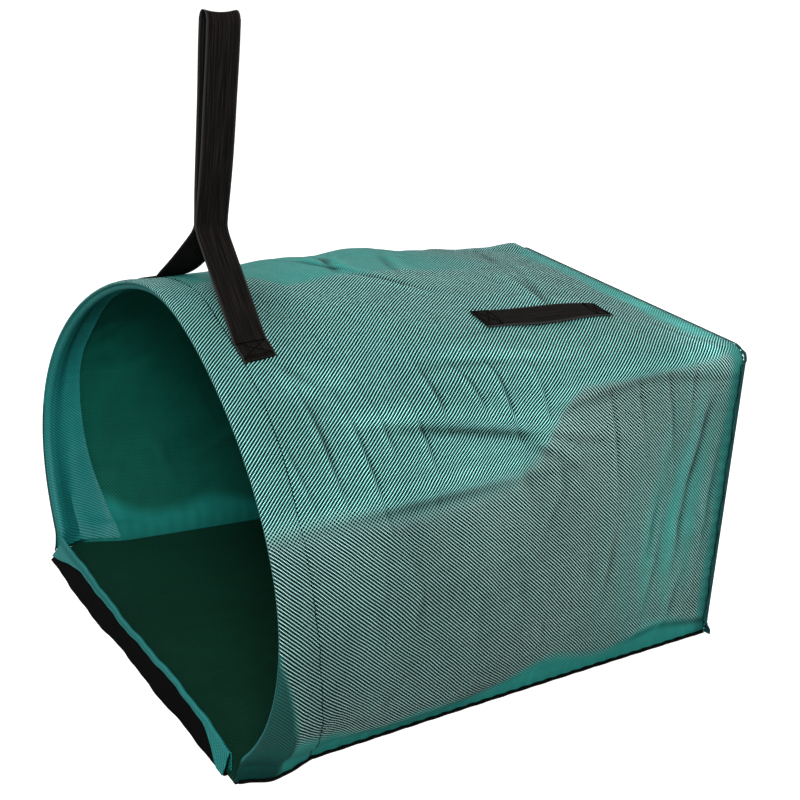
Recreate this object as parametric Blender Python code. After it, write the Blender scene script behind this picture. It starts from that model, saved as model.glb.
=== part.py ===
"""Dustpan leaf bag: a woven bag with an arched mouth, a boxed rear end, webbing straps and a front lip.

Metres, +Z up. The mouth faces -Y and the rear panel faces +Y. The bag stands on Z = 0, and the
origin is under the middle of its outline. The pieces are laid out from the mouth's foot line,
where y is 0, and one empty moves them all so that the origin ends up in the middle.
"""

import math
from bisect import bisect_right

import bmesh
import bpy
from mathutils import Vector

# Clearances and cloth
GAP = 0.0003
LAYER_GAP = 0.0006
CLOTH = 0.0016
BASE_CLOTH = 0.0020
WEBBING = 0.0020
WEBBING_WIDTH = 0.045
THREAD = 0.0006
THREAD_WIDTH = 0.0014

# The bag's outline
DEPTH = 0.800
MOUTH_FOOT_HALF = 0.316
MOUTH_SPRING_HALF = 0.324
MOUTH_SPRING_RISE = 0.031
MOUTH_BELLY_OUT = 0.555
MOUTH_BELLY_RISE = 0.287
MOUTH_CROWN_OUT = 0.172
MOUTH_HEIGHT = 0.525
MOUTH_LEAN = 0.0232
REAR_FOOT_HALF = 0.285
REAR_TOP_HALF = 0.270
REAR_HEIGHT = 0.460
REAR_CORNER = 0.025
REAR_LEAN = 0.0217
EARLY_BOXING = 0.35
TOP_SWELL = 0.030
SIDE_SWELL = 0.012
REAR_SWELL = 0.008
SWELL_BELOW_CORNER = 0.12
SWELL_RISE = 0.31
FOOT_FULLNESS = 0.024
FOOT_FULL_AT = 0.045
FOOT_FULL_FADE = 0.075
FOOT_FULL_CLIMB = 0.30
FOOT_FULL_LOW = 0.6

# Hem and hoop
HEM_WIDTH = 0.048
ROD_RADIUS = 0.0030
ROD_FROM_EDGE = 0.0098
ROD_FOOT_CLEAR = 0.040
CAP_WALL = 0.0009
CAP_LENGTH = 0.018
CAP_FLOOR = 0.0020
ROD_SLIP = 0.0003
CHANNEL_LEAD = 0.0045
CHANNEL_TAIL = 0.016
FACING_FOOT_CLEAR = 0.0065

# Seams
SEAM_WIDTH = 0.010
SEAM_THICK = 0.0025
SEAM_END_CLEAR = 0.004
SEAM_RIDE = 0.0004
SEAM_TURN_UP = 0.0045

# Front lip
LIP_HEIGHT = 0.028
LIP_HALF = 0.296
LIP_SETBACK = 0.0037
LIP_FLOOR_CLEAR = 0.00045
LIP_EDGE_SHOW = 0.0012
BATTEN_THICK = 0.0025
BATTEN_MARGIN = 0.0030

# Carry strap
STRAP_FROM_EDGE = 0.0775
STRAP_FROM_CROWN = 0.138
STRAP_SEWN = 0.032
STRAP_TONGUE = 0.012
JUNCTION_HEIGHT = 0.598
JUNCTION_CLEAR = 0.0065
LEG_TAPER = 0.045
LEG_NECK_HALF = 0.003
LEG_START = 0.0012
LOOP_HEIGHT = 0.269
LOOP_OPEN = 0.019
LOOP_CLOSED = 0.0004
LOOP_OPENING_RISE = 0.150
JUNCTION_STITCH_RISE = 0.007

# Grab handle
GRAB_FROM_EDGE = 0.406
GRAB_LENGTH = 0.234
GRAB_FROM_CROWN = 0.148
GRAB_SEWN = 0.032
GRAB_RISE = 0.0100

# Stitching
STITCH_MARGIN = 0.004

# Mesh fineness
SIDE_STEPS = 14
CORNER_STEPS = 4
TOP_STEPS = 9
DEPTH_STEPS = 16
DEPTH_CROWDING = 1.3
HEM_STEPS = 8
HEM_CROWDING = 1.4
ARCH_STEPS = 240
SHARE_STEPS = 400
NORMAL_SHARE = 0.004
NORMAL_REACH = 0.004

# Colours from the photograph
GREEN = (0.105, 0.300, 0.262)
DARK_GREEN = (0.020, 0.075, 0.055)
BLACK = (0.010, 0.010, 0.010)
WEBBING_BLACK = (0.013, 0.013, 0.012)
THREAD_BLACK = (0.020, 0.022, 0.021)
SEAM_GREEN = (0.030, 0.120, 0.110)
ROD_WHITE = (0.600, 0.610, 0.580)
VINYL_BLACK = (0.015, 0.015, 0.016)

# Values that follow from those above
FOOT = BASE_CLOTH + GAP
CAP_RADIUS = ROD_RADIUS + ROD_SLIP + CAP_WALL
CHANNEL_DEPTH = 2 * CAP_RADIUS + 2 * GAP
ROD_LIFT = -(CLOTH + LAYER_GAP + CAP_RADIUS + GAP)
LIP_STACK = 2 * CLOTH + 2 * GAP + BATTEN_THICK
FRONT_REACH = LIP_SETBACK + LIP_STACK
REAR_REACH = GAP + CLOTH + GAP + SEAM_WIDTH
MIDDLE_Y = (DEPTH + REAR_REACH - FRONT_REACH) / 2
LIP_AXIS = Vector((0, -LIP_SETBACK - LIP_STACK / 2, LIP_STACK / 2 + LIP_FLOOR_CLEAR))
HALF_WEB = WEBBING_WIDTH / 2


def remove_all_objects():
    """Empty the scene."""
    for item in list(bpy.data.objects):
        bpy.data.objects.remove(item, do_unlink=True)


def finish(name, colour, roughness, metallic=0.0):
    """A material with one colour, roughness and metallic value."""
    material = bpy.data.materials.new(name)
    material.use_nodes = True
    shader = material.node_tree.nodes["Principled BSDF"]
    shader.inputs["Base Color"].default_value = (*colour, 1.0)
    shader.inputs["Roughness"].default_value = roughness
    shader.inputs["Metallic"].default_value = metallic
    return material


class Pivot:
    """An empty that carries pieces, at a spot counted from the mouth's foot line."""

    def __init__(self, name, spot, parent=None):
        self.spot = Vector(spot)
        self.empty = bpy.data.objects.new(name, None)
        self.empty.empty_display_size = 0.03
        bpy.context.collection.objects.link(self.empty)
        if parent is None:
            self.empty.location = Vector((0, -MIDDLE_Y, 0)) + self.spot
        else:
            self.empty.parent = parent.empty
            self.empty.location = self.spot - parent.spot


def link_piece(name, data, material, pivot):
    """Name a piece, give it its material and hang it on its pivot."""
    data.materials.append(material)
    piece = bpy.data.objects.new(name, data)
    bpy.context.collection.objects.link(piece)
    piece.parent = pivot.empty
    return piece


def add_piece(name, mesh, material, pivot):
    """Turn a finished bmesh into the named piece that its pivot carries."""
    bmesh.ops.translate(mesh, vec=-pivot.spot, verts=mesh.verts[:])
    data = bpy.data.meshes.new(name)
    mesh.to_mesh(data)
    mesh.free()
    data.shade_smooth()
    data.set_sharp_from_angle(angle=math.radians(35))
    return link_piece(name, data, material, pivot)


# Outlines of the mouth and the rear


def ease(value):
    """A smooth step from 0 to 1."""
    value = min(max(value, 0.0), 1.0)
    return value * value * (3 - 2 * value)


def bezier(start, pull_start, pull_end, end, steps):
    """Points along a cubic curve."""
    points = []
    for step in range(steps + 1):
        t = step / steps
        r = 1 - t
        points.append(start * r**3 + pull_start * (3 * r * r * t) + pull_end * (3 * r * t * t) + end * t**3)
    return points


def mouth_half():
    """The mouth's right half as (across, up), from the foot to the crown."""
    spring = Vector((MOUTH_SPRING_HALF, MOUTH_SPRING_RISE))
    belly = Vector((MOUTH_BELLY_OUT, MOUTH_BELLY_RISE))
    shoulder = Vector((MOUTH_CROWN_OUT, MOUTH_HEIGHT))
    crown = Vector((0, MOUTH_HEIGHT))
    return [Vector((MOUTH_FOOT_HALF, FOOT))] + bezier(spring, belly, shoulder, crown, ARCH_STEPS)


def rear_corner():
    """The rounded upper corner of the rear outline, from its lower to its upper end."""
    centre = Vector((REAR_TOP_HALF - REAR_CORNER, REAR_HEIGHT - REAR_CORNER))
    points = []
    for step in range(CORNER_STEPS + 1):
        angle = math.pi / 2 * step / CORNER_STEPS
        points.append(centre + REAR_CORNER * Vector((math.cos(angle), math.sin(angle))))
    return points


def rear_half():
    """The rear's right half as (across, up), from the foot to the crown."""
    return [Vector((REAR_FOOT_HALF, FOOT))] + rear_corner() + [Vector((0, REAR_HEIGHT))]


def measured(points):
    """A line's points and their distances from its start as shares of its length."""
    lengths = [0.0]
    for before, after in zip(points, points[1:]):
        lengths.append(lengths[-1] + (after - before).length)
    return points, [length / lengths[-1] for length in lengths]


def along(line, share):
    """The point of a measured line at a share of its length."""
    points, shares = line
    index = min(max(bisect_right(shares, share), 1), len(points) - 1)
    span = shares[index] - shares[index - 1]
    return points[index - 1].lerp(points[index], (share - shares[index - 1]) / span)


MOUTH_LINE = measured(mouth_half())
REAR_LINE = measured(rear_half())
CORNER_START = REAR_LINE[1][1]
CORNER_END = REAR_LINE[1][1 + CORNER_STEPS]


def outline_shares():
    """The cloth's columns from foot to foot, with one where the arch springs and more at the rear corners."""
    climbs = [CORNER_START * step / SIDE_STEPS for step in range(SIDE_STEPS)]
    climbs = sorted(climbs[:1] + [MOUTH_LINE[1][1]] + climbs[2:])
    climbs += REAR_LINE[1][1:1 + CORNER_STEPS]
    climbs += [CORNER_END + (1 - CORNER_END) * step / TOP_STEPS for step in range(TOP_STEPS)]
    left = [climb - 1 for climb in climbs]
    return left + [0.0] + [-share for share in reversed(left)]


# The cloth's outer face


def foot_fullness(climb, y):
    """How far the lower wall stands out behind the mouth's drawn-in feet."""
    backwards = ease(y / FOOT_FULL_AT) * (1 - ease((y - FOOT_FULL_AT) / FOOT_FULL_FADE))
    upwards = FOOT_FULL_LOW + (1 - FOOT_FULL_LOW) * ease(3 * climb / FOOT_FULL_CLIMB)
    return FOOT_FULLNESS * backwards * upwards * (1 - ease(climb / FOOT_FULL_CLIMB))


def skin_point(share, y):
    """A point of the outer face, from the left foot at share -1 over the crown at 0 to the right foot at 1."""
    climb = 1 - abs(share)
    back = min(max(y / DEPTH, 0.0), 1.0)
    boxing = back + EARLY_BOXING * back * (1 - back)
    across, up = along(MOUTH_LINE, climb).lerp(along(REAR_LINE, climb), boxing)
    swell = 4 * back * (1 - back)
    across += SIDE_SWELL * swell * math.sin(math.pi * min(climb / CORNER_START, 1.0))
    across += foot_fullness(climb, y)
    up += TOP_SWELL * swell * ease((climb - CORNER_START + SWELL_BELOW_CORNER) / SWELL_RISE)
    lean = MOUTH_LEAN * (1 - back) - REAR_LEAN * back
    return Vector((math.copysign(across, share), y + lean * up, up))


def skin_normal(share, y):
    """The outward direction of the outer face."""
    right = skin_point(min(share + NORMAL_SHARE, 1.0), y) - skin_point(max(share - NORMAL_SHARE, -1.0), y)
    rearward = skin_point(share, y + NORMAL_REACH) - skin_point(share, y - NORMAL_REACH)
    return right.cross(rearward).normalized()


def skin(share, y, lift):
    """A point that stands a lift off the outer face, or inside it when the lift is negative."""
    return skin_point(share, y) + skin_normal(share, y) * lift


def share_over(distance, y):
    """The share that lies a distance from the crown, measured over the cloth."""
    travelled = 0.0
    last = skin_point(0.0, y)
    for step in range(1, SHARE_STEPS + 1):
        point = skin_point(step / SHARE_STEPS, y)
        hop = (point - last).length
        if travelled + hop >= distance:
            return (step - 1 + (distance - travelled) / hop) / SHARE_STEPS
        travelled += hop
        last = point
    return 1.0


# Closed sheets from flat patterns


def spread(start, end, steps):
    """Evenly spaced values from start to end."""
    return [start + (end - start) * step / steps for step in range(steps + 1)]


def grid_pattern(columns, rows):
    """A flat net of squares with a vertex at each column and row value."""
    mesh = bmesh.new()
    lines = [[mesh.verts.new((column, row, 0)) for row in rows] for column in columns]
    for left, right in zip(lines, lines[1:]):
        for index in range(len(rows) - 1):
            mesh.faces.new((left[index], right[index], right[index + 1], left[index + 1]))
    return mesh


def ring_pattern(half_length, half_width, line):
    """A flat rectangular ring whose outer size is given and whose band is one line wide."""
    mesh = bmesh.new()
    corners = ((-1, -1), (1, -1), (1, 1), (-1, 1))
    outer = [mesh.verts.new((a * half_length, b * half_width, 0)) for a, b in corners]
    inner = [mesh.verts.new((a * (half_length - line), b * (half_width - line), 0)) for a, b in corners]
    for index in range(4):
        after = (index + 1) % 4
        mesh.faces.new((outer[index], outer[after], inner[after], inner[index]))
    return mesh


def boxed_cross_pattern(half_length, half_width, line):
    """A flat rectangle of stitching with a cross in it, as a band one line wide round four triangles."""
    mesh = bmesh.new()
    corners = [Vector(pair) for pair in ((-1, -1), (1, -1), (1, 1), (-1, 1))]
    reach = Vector((half_length, half_width))
    inside = Vector((half_length - line, half_width - line))
    slant = line * math.hypot(half_length, half_width)
    outer = [mesh.verts.new((*(corner * reach), 0)) for corner in corners]
    bases = []
    tips = []
    for index, corner in enumerate(corners):
        after = corners[(index + 1) % 4]
        middle = (corner + after) / 2
        along_side = (after - corner) / 2
        drawn_in = Vector((slant / half_width / 2, slant / half_length / 2))
        cut = Vector((abs(along_side.x) * drawn_in.x, abs(along_side.y) * drawn_in.y))
        first = corner * inside + along_side * cut
        second = after * inside - along_side * cut
        bases.append((mesh.verts.new((*first, 0)), mesh.verts.new((*second, 0))))
        tips.append(mesh.verts.new((*(middle * drawn_in), 0)))
    for index in range(4):
        after = (index + 1) % 4
        first, second = bases[index]
        mesh.faces.new((outer[index], outer[after], second, first))
        mesh.faces.new((outer[after], bases[after][0], tips[after], tips[index], second))
    mesh.faces.new(tips)
    return mesh


def face_outwards(mesh):
    """Turn every face of a closed mesh outwards."""
    bmesh.ops.recalc_face_normals(mesh, faces=mesh.faces[:])
    if mesh.calc_volume(signed=True) < 0:
        bmesh.ops.reverse_faces(mesh, faces=mesh.faces[:])


def thicken(pattern, place, low, high):
    """Lay a flat pattern over a surface and close it between two lifts."""
    made = bmesh.ops.extrude_face_region(pattern, geom=pattern.faces[:], use_keep_orig=True)
    raised = {item for item in made["geom"] if isinstance(item, bmesh.types.BMVert)}
    for vert in pattern.verts:
        lift = high if vert in raised else low
        vert.co = place(vert.co.x, vert.co.y, lift)
    face_outwards(pattern)
    return pattern


# Panels of the bag


def floor_half(y):
    """Half the base's width at a depth."""
    return skin_point(1.0, min(max(y, 0.0), DEPTH)).x


def crowded(start, end, steps, power):
    """Values from start to end that lie closer together at the start."""
    return [start + (end - start) * (step / steps) ** power for step in range(steps + 1)]


def hem_rows():
    """Depths across the hem."""
    return crowded(0.0, HEM_WIDTH, HEM_STEPS, HEM_CROWDING)


def depth_rows():
    """Depths from the mouth to the rear, shared by the sheets that lie on each other."""
    return hem_rows() + crowded(HEM_WIDTH, DEPTH, DEPTH_STEPS, DEPTH_CROWDING)[1:]


def make_base(material, pivot):
    """The black outer floor that the bag stands on."""
    def place(y, across, lift):
        return Vector((across * floor_half(y), y, lift))
    rows = depth_rows() + [DEPTH + GAP + CLOTH]
    add_piece("base_panel", thicken(grid_pattern(rows, (-1, 0, 1)), place, 0.0, BASE_CLOTH), material, pivot)


def make_floor_liner(material, pivot):
    """The green inner floor, laid on the base inside the walls."""
    def place(y, across, lift):
        return Vector((across * (floor_half(y) - CLOTH - 2 * GAP), y, lift))
    rows = depth_rows()[:-1] + [DEPTH - CLOTH]
    sheet = thicken(grid_pattern(rows, (-1, 0, 1)), place, FOOT, FOOT + CLOTH)
    add_piece("floor_liner", sheet, material, pivot)


def make_wrap(shares, material, pivot):
    """The one sheet that makes both sides and the top."""
    sheet = thicken(grid_pattern(shares, depth_rows()), skin, -CLOTH, 0.0)
    add_piece("wrap_panel", sheet, material, pivot)


def rear_rows():
    """The rear outline as (half width, height) from the floor to the top."""
    foot = Vector((REAR_FOOT_HALF, FOOT))
    corner = rear_corner()
    sides = [foot.lerp(corner[0], step / SIDE_STEPS * 2) for step in range(SIDE_STEPS // 2)]
    return sides + corner


def make_rear(material, pivot):
    """The rear panel, swollen a little by what the bag holds."""
    rows = rear_rows()

    def place(row, across, lift):
        half, up = rows[round(row)]
        swell = REAR_SWELL * (1 - across * across) * math.sin(math.pi * up / REAR_HEIGHT)
        return Vector((across * half, DEPTH - REAR_LEAN * up + swell + lift, up))
    pattern = grid_pattern(range(len(rows)), spread(-1.0, 1.0, 10))
    add_piece("rear_panel", thicken(pattern, place, GAP, GAP + CLOTH), material, pivot)


def make_rear_seam(shares, material, pivot):
    """The sewn edges of the wrap and the rear panel, standing out aslant at the rear outline."""
    def place(share, width, lift):
        outward = skin_normal(share, DEPTH)
        outward.y = 0
        outward.normalize()
        rearward = Vector((0, 1, 0))
        corner = skin_point(share, DEPTH) + outward * GAP + rearward * (CLOTH + 2 * GAP)
        slant = (outward + rearward).normalized()
        across = (outward - rearward).normalized()
        return corner + slant * width + across * lift
    pattern = grid_pattern(shares, (0.0, SEAM_WIDTH))
    seam = thicken(pattern, place, -SEAM_THICK / 2, SEAM_THICK / 2)
    add_piece("rear_arch_seam", seam, material, pivot)


def make_floor_seams(shares, rear_material, side_material, pivot):
    """The sewn edges along the base: one standing out across the rear and one turned up each side wall."""
    def place_rear(across, width, lift):
        return Vector((across, DEPTH + CLOTH + 2 * GAP + width, SEAM_RIDE + lift))
    end = REAR_FOOT_HALF - SEAM_END_CLEAR
    rear = thicken(grid_pattern((-end, end), (0.0, SEAM_WIDTH)), place_rear, 0.0, SEAM_THICK)
    add_piece("rear_floor_seam", rear, rear_material, pivot)
    inner = [row for row in depth_rows() if SEAM_END_CLEAR < row < DEPTH - SEAM_END_CLEAR]
    rows = [SEAM_END_CLEAR] + inner + [DEPTH - SEAM_END_CLEAR]
    above = shares[-2]

    def place_side(y, up, lift):
        foot = skin(1.0, y, lift)
        next_column = skin(above, y, lift)
        return foot.lerp(next_column, up / (next_column.z - foot.z))

    for name, side in (("side_seam_left", -1), ("side_seam_right", 1)):
        pattern = grid_pattern(rows, (0.0, SEAM_TURN_UP))
        strip = thicken(pattern, mirrored(place_side, side), GAP, GAP + SEAM_THICK)
        add_piece(name, strip, side_material, pivot)


# The mouth's hem and hoop


def trimmed(shares, foot_clear):
    """The columns between two points that lie a distance up from each foot."""
    end = 1 - foot_clear / mouth_length()
    inner = [share for share in shares if abs(share) < end - NORMAL_SHARE]
    return [-end] + inner + [end]


def mouth_length():
    """The length of the mouth's half outline."""
    points = MOUTH_LINE[0]
    return sum((after - before).length for before, after in zip(points, points[1:]))


def channel_depth(y):
    """How far the hem's inner layer stands off the outer one to make the rod's channel."""
    leave = ROD_FROM_EDGE + CAP_RADIUS + GAP
    return CHANNEL_DEPTH * ease(y / CHANNEL_LEAD) * (1 - ease((y - leave) / CHANNEL_TAIL))


def make_facing(shares, material, pivot):
    """The hem's inner layer, turned in round the mouth and sewn down behind the rod."""
    def place(share, y, lift):
        return skin(share, y, lift - channel_depth(y))
    columns = trimmed(shares, FACING_FOOT_CLEAR)
    sheet = thicken(grid_pattern(columns, hem_rows()), place, -2 * CLOTH - LAYER_GAP, -CLOTH - LAYER_GAP)
    add_piece("hem_facing", sheet, material, pivot)


def make_hoop(shares, rod_material, cap_material, pivot):
    """The springy rod that holds the mouth open, with a vinyl cap on each end."""
    end = 1 - ROD_FOOT_CLEAR / mouth_length()
    points = [skin(share, ROD_FROM_EDGE, ROD_LIFT) for share in trimmed(shares, ROD_FOOT_CLEAR)]
    data = bpy.data.curves.new("mouth_hoop", "CURVE")
    data.dimensions = "3D"
    data.bevel_depth = ROD_RADIUS
    data.bevel_resolution = 2
    data.use_fill_caps = True
    spline = data.splines.new("POLY")
    spline.points.add(len(points) - 1)
    for slot, point in zip(spline.points, points):
        slot.co = (*(point - pivot.spot), 1.0)
    link_piece("mouth_hoop", data, rod_material, pivot)
    for name, side in (("hoop_cap_left", -1), ("hoop_cap_right", 1)):
        tip = skin(side * end, ROD_FROM_EDGE, ROD_LIFT)
        back = skin(side * (end - CAP_LENGTH / mouth_length()), ROD_FROM_EDGE, ROD_LIFT)
        add_cap(name, tip, (back - tip).normalized(), cap_material, pivot)


def add_cap(name, tip, direction, material, pivot):
    """A cup that the rod's end sits in, turned about its own axis and then stood on the rod."""
    bore = ROD_RADIUS + ROD_SLIP
    profile = ((0, -CAP_FLOOR), (CAP_RADIUS, -CAP_FLOOR), (CAP_RADIUS, CAP_LENGTH), (bore, CAP_LENGTH),
               (bore, -GAP), (0, -GAP))
    mesh = bmesh.new()
    verts = [mesh.verts.new((radius, 0, up)) for radius, up in profile]
    edges = [mesh.edges.new(pair) for pair in zip(verts, verts[1:])]
    bmesh.ops.spin(mesh, geom=verts + edges, axis=(0, 0, 1), cent=(0, 0, 0), steps=12,
                   angle=math.tau, use_merge=True)
    bmesh.ops.remove_doubles(mesh, verts=mesh.verts[:], dist=0.00001)
    face_outwards(mesh)
    data = bpy.data.meshes.new(name)
    mesh.to_mesh(data)
    mesh.free()
    data.shade_smooth()
    data.set_sharp_from_angle(angle=math.radians(35))
    cap = link_piece(name, data, material, pivot)
    cap.rotation_mode = "QUATERNION"
    cap.rotation_quaternion = direction.to_track_quat("Z", "X")
    cap.location = tip - pivot.spot


def make_hem_stitch(shares, material, pivot):
    """The line of thread that sews the hem down, round the whole arch."""
    rows = (HEM_WIDTH - THREAD_WIDTH / 2, HEM_WIDTH + THREAD_WIDTH / 2)
    pattern = grid_pattern(trimmed(shares, FACING_FOOT_CLEAR), rows)
    line = thicken(pattern, skin, LAYER_GAP, LAYER_GAP + THREAD)
    add_piece("hem_stitch", line, material, pivot)


# The front lip


def make_lip(black, batten, green, pivot):
    """The stiffened sill across the mouth: a black outer layer, a batten and a green inner layer."""
    front = LIP_AXIS.y - LIP_STACK / 2
    foot = LIP_AXIS.z

    def place(across, up, lift):
        return Vector((across, front + lift, up))

    columns = spread(-LIP_HALF, LIP_HALF, 8)
    outer = thicken(grid_pattern(columns, (foot, LIP_HEIGHT)), place, 0.0, CLOTH)
    add_piece("front_lip", outer, black, pivot)
    inner_columns = spread(BATTEN_MARGIN - LIP_HALF, LIP_HALF - BATTEN_MARGIN, 4)
    batten_front = CLOTH + GAP
    middle = grid_pattern(inner_columns, (foot, LIP_HEIGHT - BATTEN_MARGIN))
    add_piece("lip_batten", thicken(middle, place, batten_front, batten_front + BATTEN_THICK), batten, pivot)
    back = batten_front + BATTEN_THICK + GAP
    lining = thicken(grid_pattern(columns, (foot, LIP_HEIGHT + LIP_EDGE_SHOW)), place, back, back + CLOTH)
    add_piece("lip_facing", lining, green, pivot)


# The carry strap


def strap_seat(distance, lift):
    """A point of the right sewn end's middle line, a distance from the crown."""
    return skin(share_over(distance, STRAP_FROM_EDGE), STRAP_FROM_EDGE, lift)


def strap_line():
    """The right leg's lower end on the bag, its direction up to the junction and its outward face."""
    seat = strap_seat(STRAP_FROM_CROWN, GAP + WEBBING / 2)
    junction = Vector((0, seat.y, JUNCTION_HEIGHT))
    direction = (junction - seat).normalized()
    face = Vector((direction.z, 0, -direction.x)).normalized()
    return seat, direction, face, (junction - seat).length


def mirrored(place, side):
    """The same placing on the bag's left when the side is -1."""
    def placed(a, b, lift):
        point = place(a, b, lift)
        return Vector((side * point.x, point.y, point.z))
    return placed


def place_strap_end(length, across, lift):
    """The sewn end from its lower edge up, and then the short tongue that stands off the bag."""
    y = STRAP_FROM_EDGE + across * HALF_WEB
    sewn = min(length, STRAP_SEWN)
    distance = STRAP_FROM_CROWN + STRAP_SEWN - sewn
    share = share_over(distance, STRAP_FROM_EDGE)
    _, direction, face, _ = strap_line()
    if length < STRAP_SEWN:
        return skin(share, y, GAP + lift)
    seated = skin_point(share, y) + skin_normal(share, y) * GAP
    turned = (skin_normal(share, y) + face).normalized() if length == STRAP_SEWN else face
    return seated + turned * lift + direction * (length - STRAP_SEWN)


def make_strap_ends(webbing, thread, pivot):
    """The two sewn ends of the carry strap and the boxed crosses that hold them."""
    lengths = spread(0.0, STRAP_SEWN, 5) + [STRAP_SEWN + STRAP_TONGUE]
    half_length = STRAP_SEWN / 2 - STITCH_MARGIN
    half_width = HALF_WEB - STITCH_MARGIN

    def place_stitch(length, across, lift):
        return place_strap_end(STRAP_SEWN / 2 + length, across / HALF_WEB, lift)

    for word, side in (("left", -1), ("right", 1)):
        pattern = grid_pattern(lengths, spread(-1.0, 1.0, 4))
        end = thicken(pattern, mirrored(place_strap_end, side), 0.0, WEBBING)
        add_piece("strap_end_" + word, end, webbing, pivot)
        cross = boxed_cross_pattern(half_length, half_width, THREAD_WIDTH)
        bmesh.ops.subdivide_edges(cross, edges=cross.edges[:], cuts=2)
        low = WEBBING + LAYER_GAP
        add_piece("end_stitch_" + word, thicken(cross, mirrored(place_stitch, side), low, low + THREAD),
                  thread, pivot)


def make_strap_legs(material, pivot):
    """The two legs of the carry strap between the bag and the junction, narrow where the webbing twists."""
    seat, direction, face, length = strap_line()
    start = STRAP_TONGUE + LEG_START
    stop = length - JUNCTION_CLEAR

    def place(distance, across, lift):
        widen = min((distance - start) / LEG_TAPER, 1.0)
        half = LEG_NECK_HALF + (HALF_WEB - LEG_NECK_HALF) * widen
        return seat + direction * distance + face * lift + Vector((0, across * half, 0))

    rows = [start, start + LEG_TAPER] + spread(start + 2 * LEG_TAPER, stop, 2)
    for word, side in (("left", -1), ("right", 1)):
        pattern = grid_pattern(rows, spread(-1.0, 1.0, 2))
        leg = thicken(pattern, mirrored(place, side), -WEBBING / 2, WEBBING / 2)
        add_piece("strap_leg_" + word, leg, material, pivot)


def loop_path():
    """The loop's middle line as (across, up) from the junction, up the right side and down the left."""
    closed = WEBBING / 2 + LOOP_CLOSED
    opened = LOOP_OPEN / 2
    top = LOOP_HEIGHT - opened - WEBBING / 2
    side = []
    for up in spread(0.0, top, 12):
        side.append(Vector((closed + (opened - closed) * ease(up / LOOP_OPENING_RISE), up)))
    bend = []
    for step in range(1, 8):
        angle = math.pi * step / 8
        bend.append(Vector((opened * math.cos(angle), top + opened * math.sin(angle))))
    return side + bend + [Vector((-point.x, point.y)) for point in reversed(side)]


def make_loop(webbing, thread, pivot):
    """The carry loop, a doubled length of webbing, and the thread that closes it at the junction."""
    path = loop_path()

    def place(index, across, lift):
        here = round(index)
        before = path[max(here - 1, 0)]
        after = path[min(here + 1, len(path) - 1)]
        heading = (after - before).normalized()
        point = path[here] + Vector((heading.y, -heading.x)) * lift
        return pivot.spot + Vector((point.x, across * HALF_WEB, point.y))

    pattern = grid_pattern(range(len(path)), (-1, 0, 1))
    add_piece("carry_loop", thicken(pattern, place, -WEBBING / 2, WEBBING / 2), webbing, pivot)

    def place_thread(across, along_width, lift):
        return pivot.spot + Vector((across, along_width, JUNCTION_STITCH_RISE + lift))

    half_length = LOOP_CLOSED + WEBBING + GAP + THREAD
    ring = ring_pattern(half_length, HALF_WEB + GAP + THREAD, THREAD)
    add_piece("junction_stitch", thicken(ring, place_thread, 0.0, THREAD_WIDTH), thread, pivot)


# The grab handle on top


def place_grab(y, across, lift):
    """A point over the handle's seat, with across counted in half widths from its middle line."""
    share = share_over(GRAB_FROM_CROWN + across * HALF_WEB, GRAB_FROM_EDGE + GRAB_LENGTH / 2)
    return skin(share, y, lift)


def make_grab_ends(webbing, thread, pivot):
    """The handle's two sewn ends and the boxed crosses that hold them."""
    starts = (("front", GRAB_FROM_EDGE), ("rear", GRAB_FROM_EDGE + GRAB_LENGTH - GRAB_SEWN))
    for word, start in starts:
        pattern = grid_pattern(spread(start, start + GRAB_SEWN, 2), spread(-1.0, 1.0, 2))
        add_piece("grab_end_" + word, thicken(pattern, place_grab, GAP, GAP + WEBBING), webbing, pivot)

        def place_stitch(length, across, lift, start=start):
            return place_grab(start + GRAB_SEWN / 2 + length, across / HALF_WEB, lift)

        cross = boxed_cross_pattern(GRAB_SEWN / 2 - STITCH_MARGIN, HALF_WEB - STITCH_MARGIN, THREAD_WIDTH)
        low = GAP + WEBBING + LAYER_GAP
        add_piece("grab_stitch_" + word, thicken(cross, place_stitch, low, low + THREAD), thread, pivot)


def make_grab_strap(material, pivot):
    """The handle's free middle, bowed up enough for the fingers to get under it."""
    first = GRAB_FROM_EDGE + GRAB_SEWN + GAP
    last = GRAB_FROM_EDGE + GRAB_LENGTH - GRAB_SEWN - GAP

    def place(y, across, lift):
        share = (y - first) / (last - first)
        return place_grab(y, across, GAP + lift + GRAB_RISE * 4 * share * (1 - share))

    pattern = grid_pattern(spread(first, last, 10), spread(-1.0, 1.0, 2))
    add_piece("grab_strap", thicken(pattern, place, 0.0, WEBBING), material, pivot)


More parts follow.
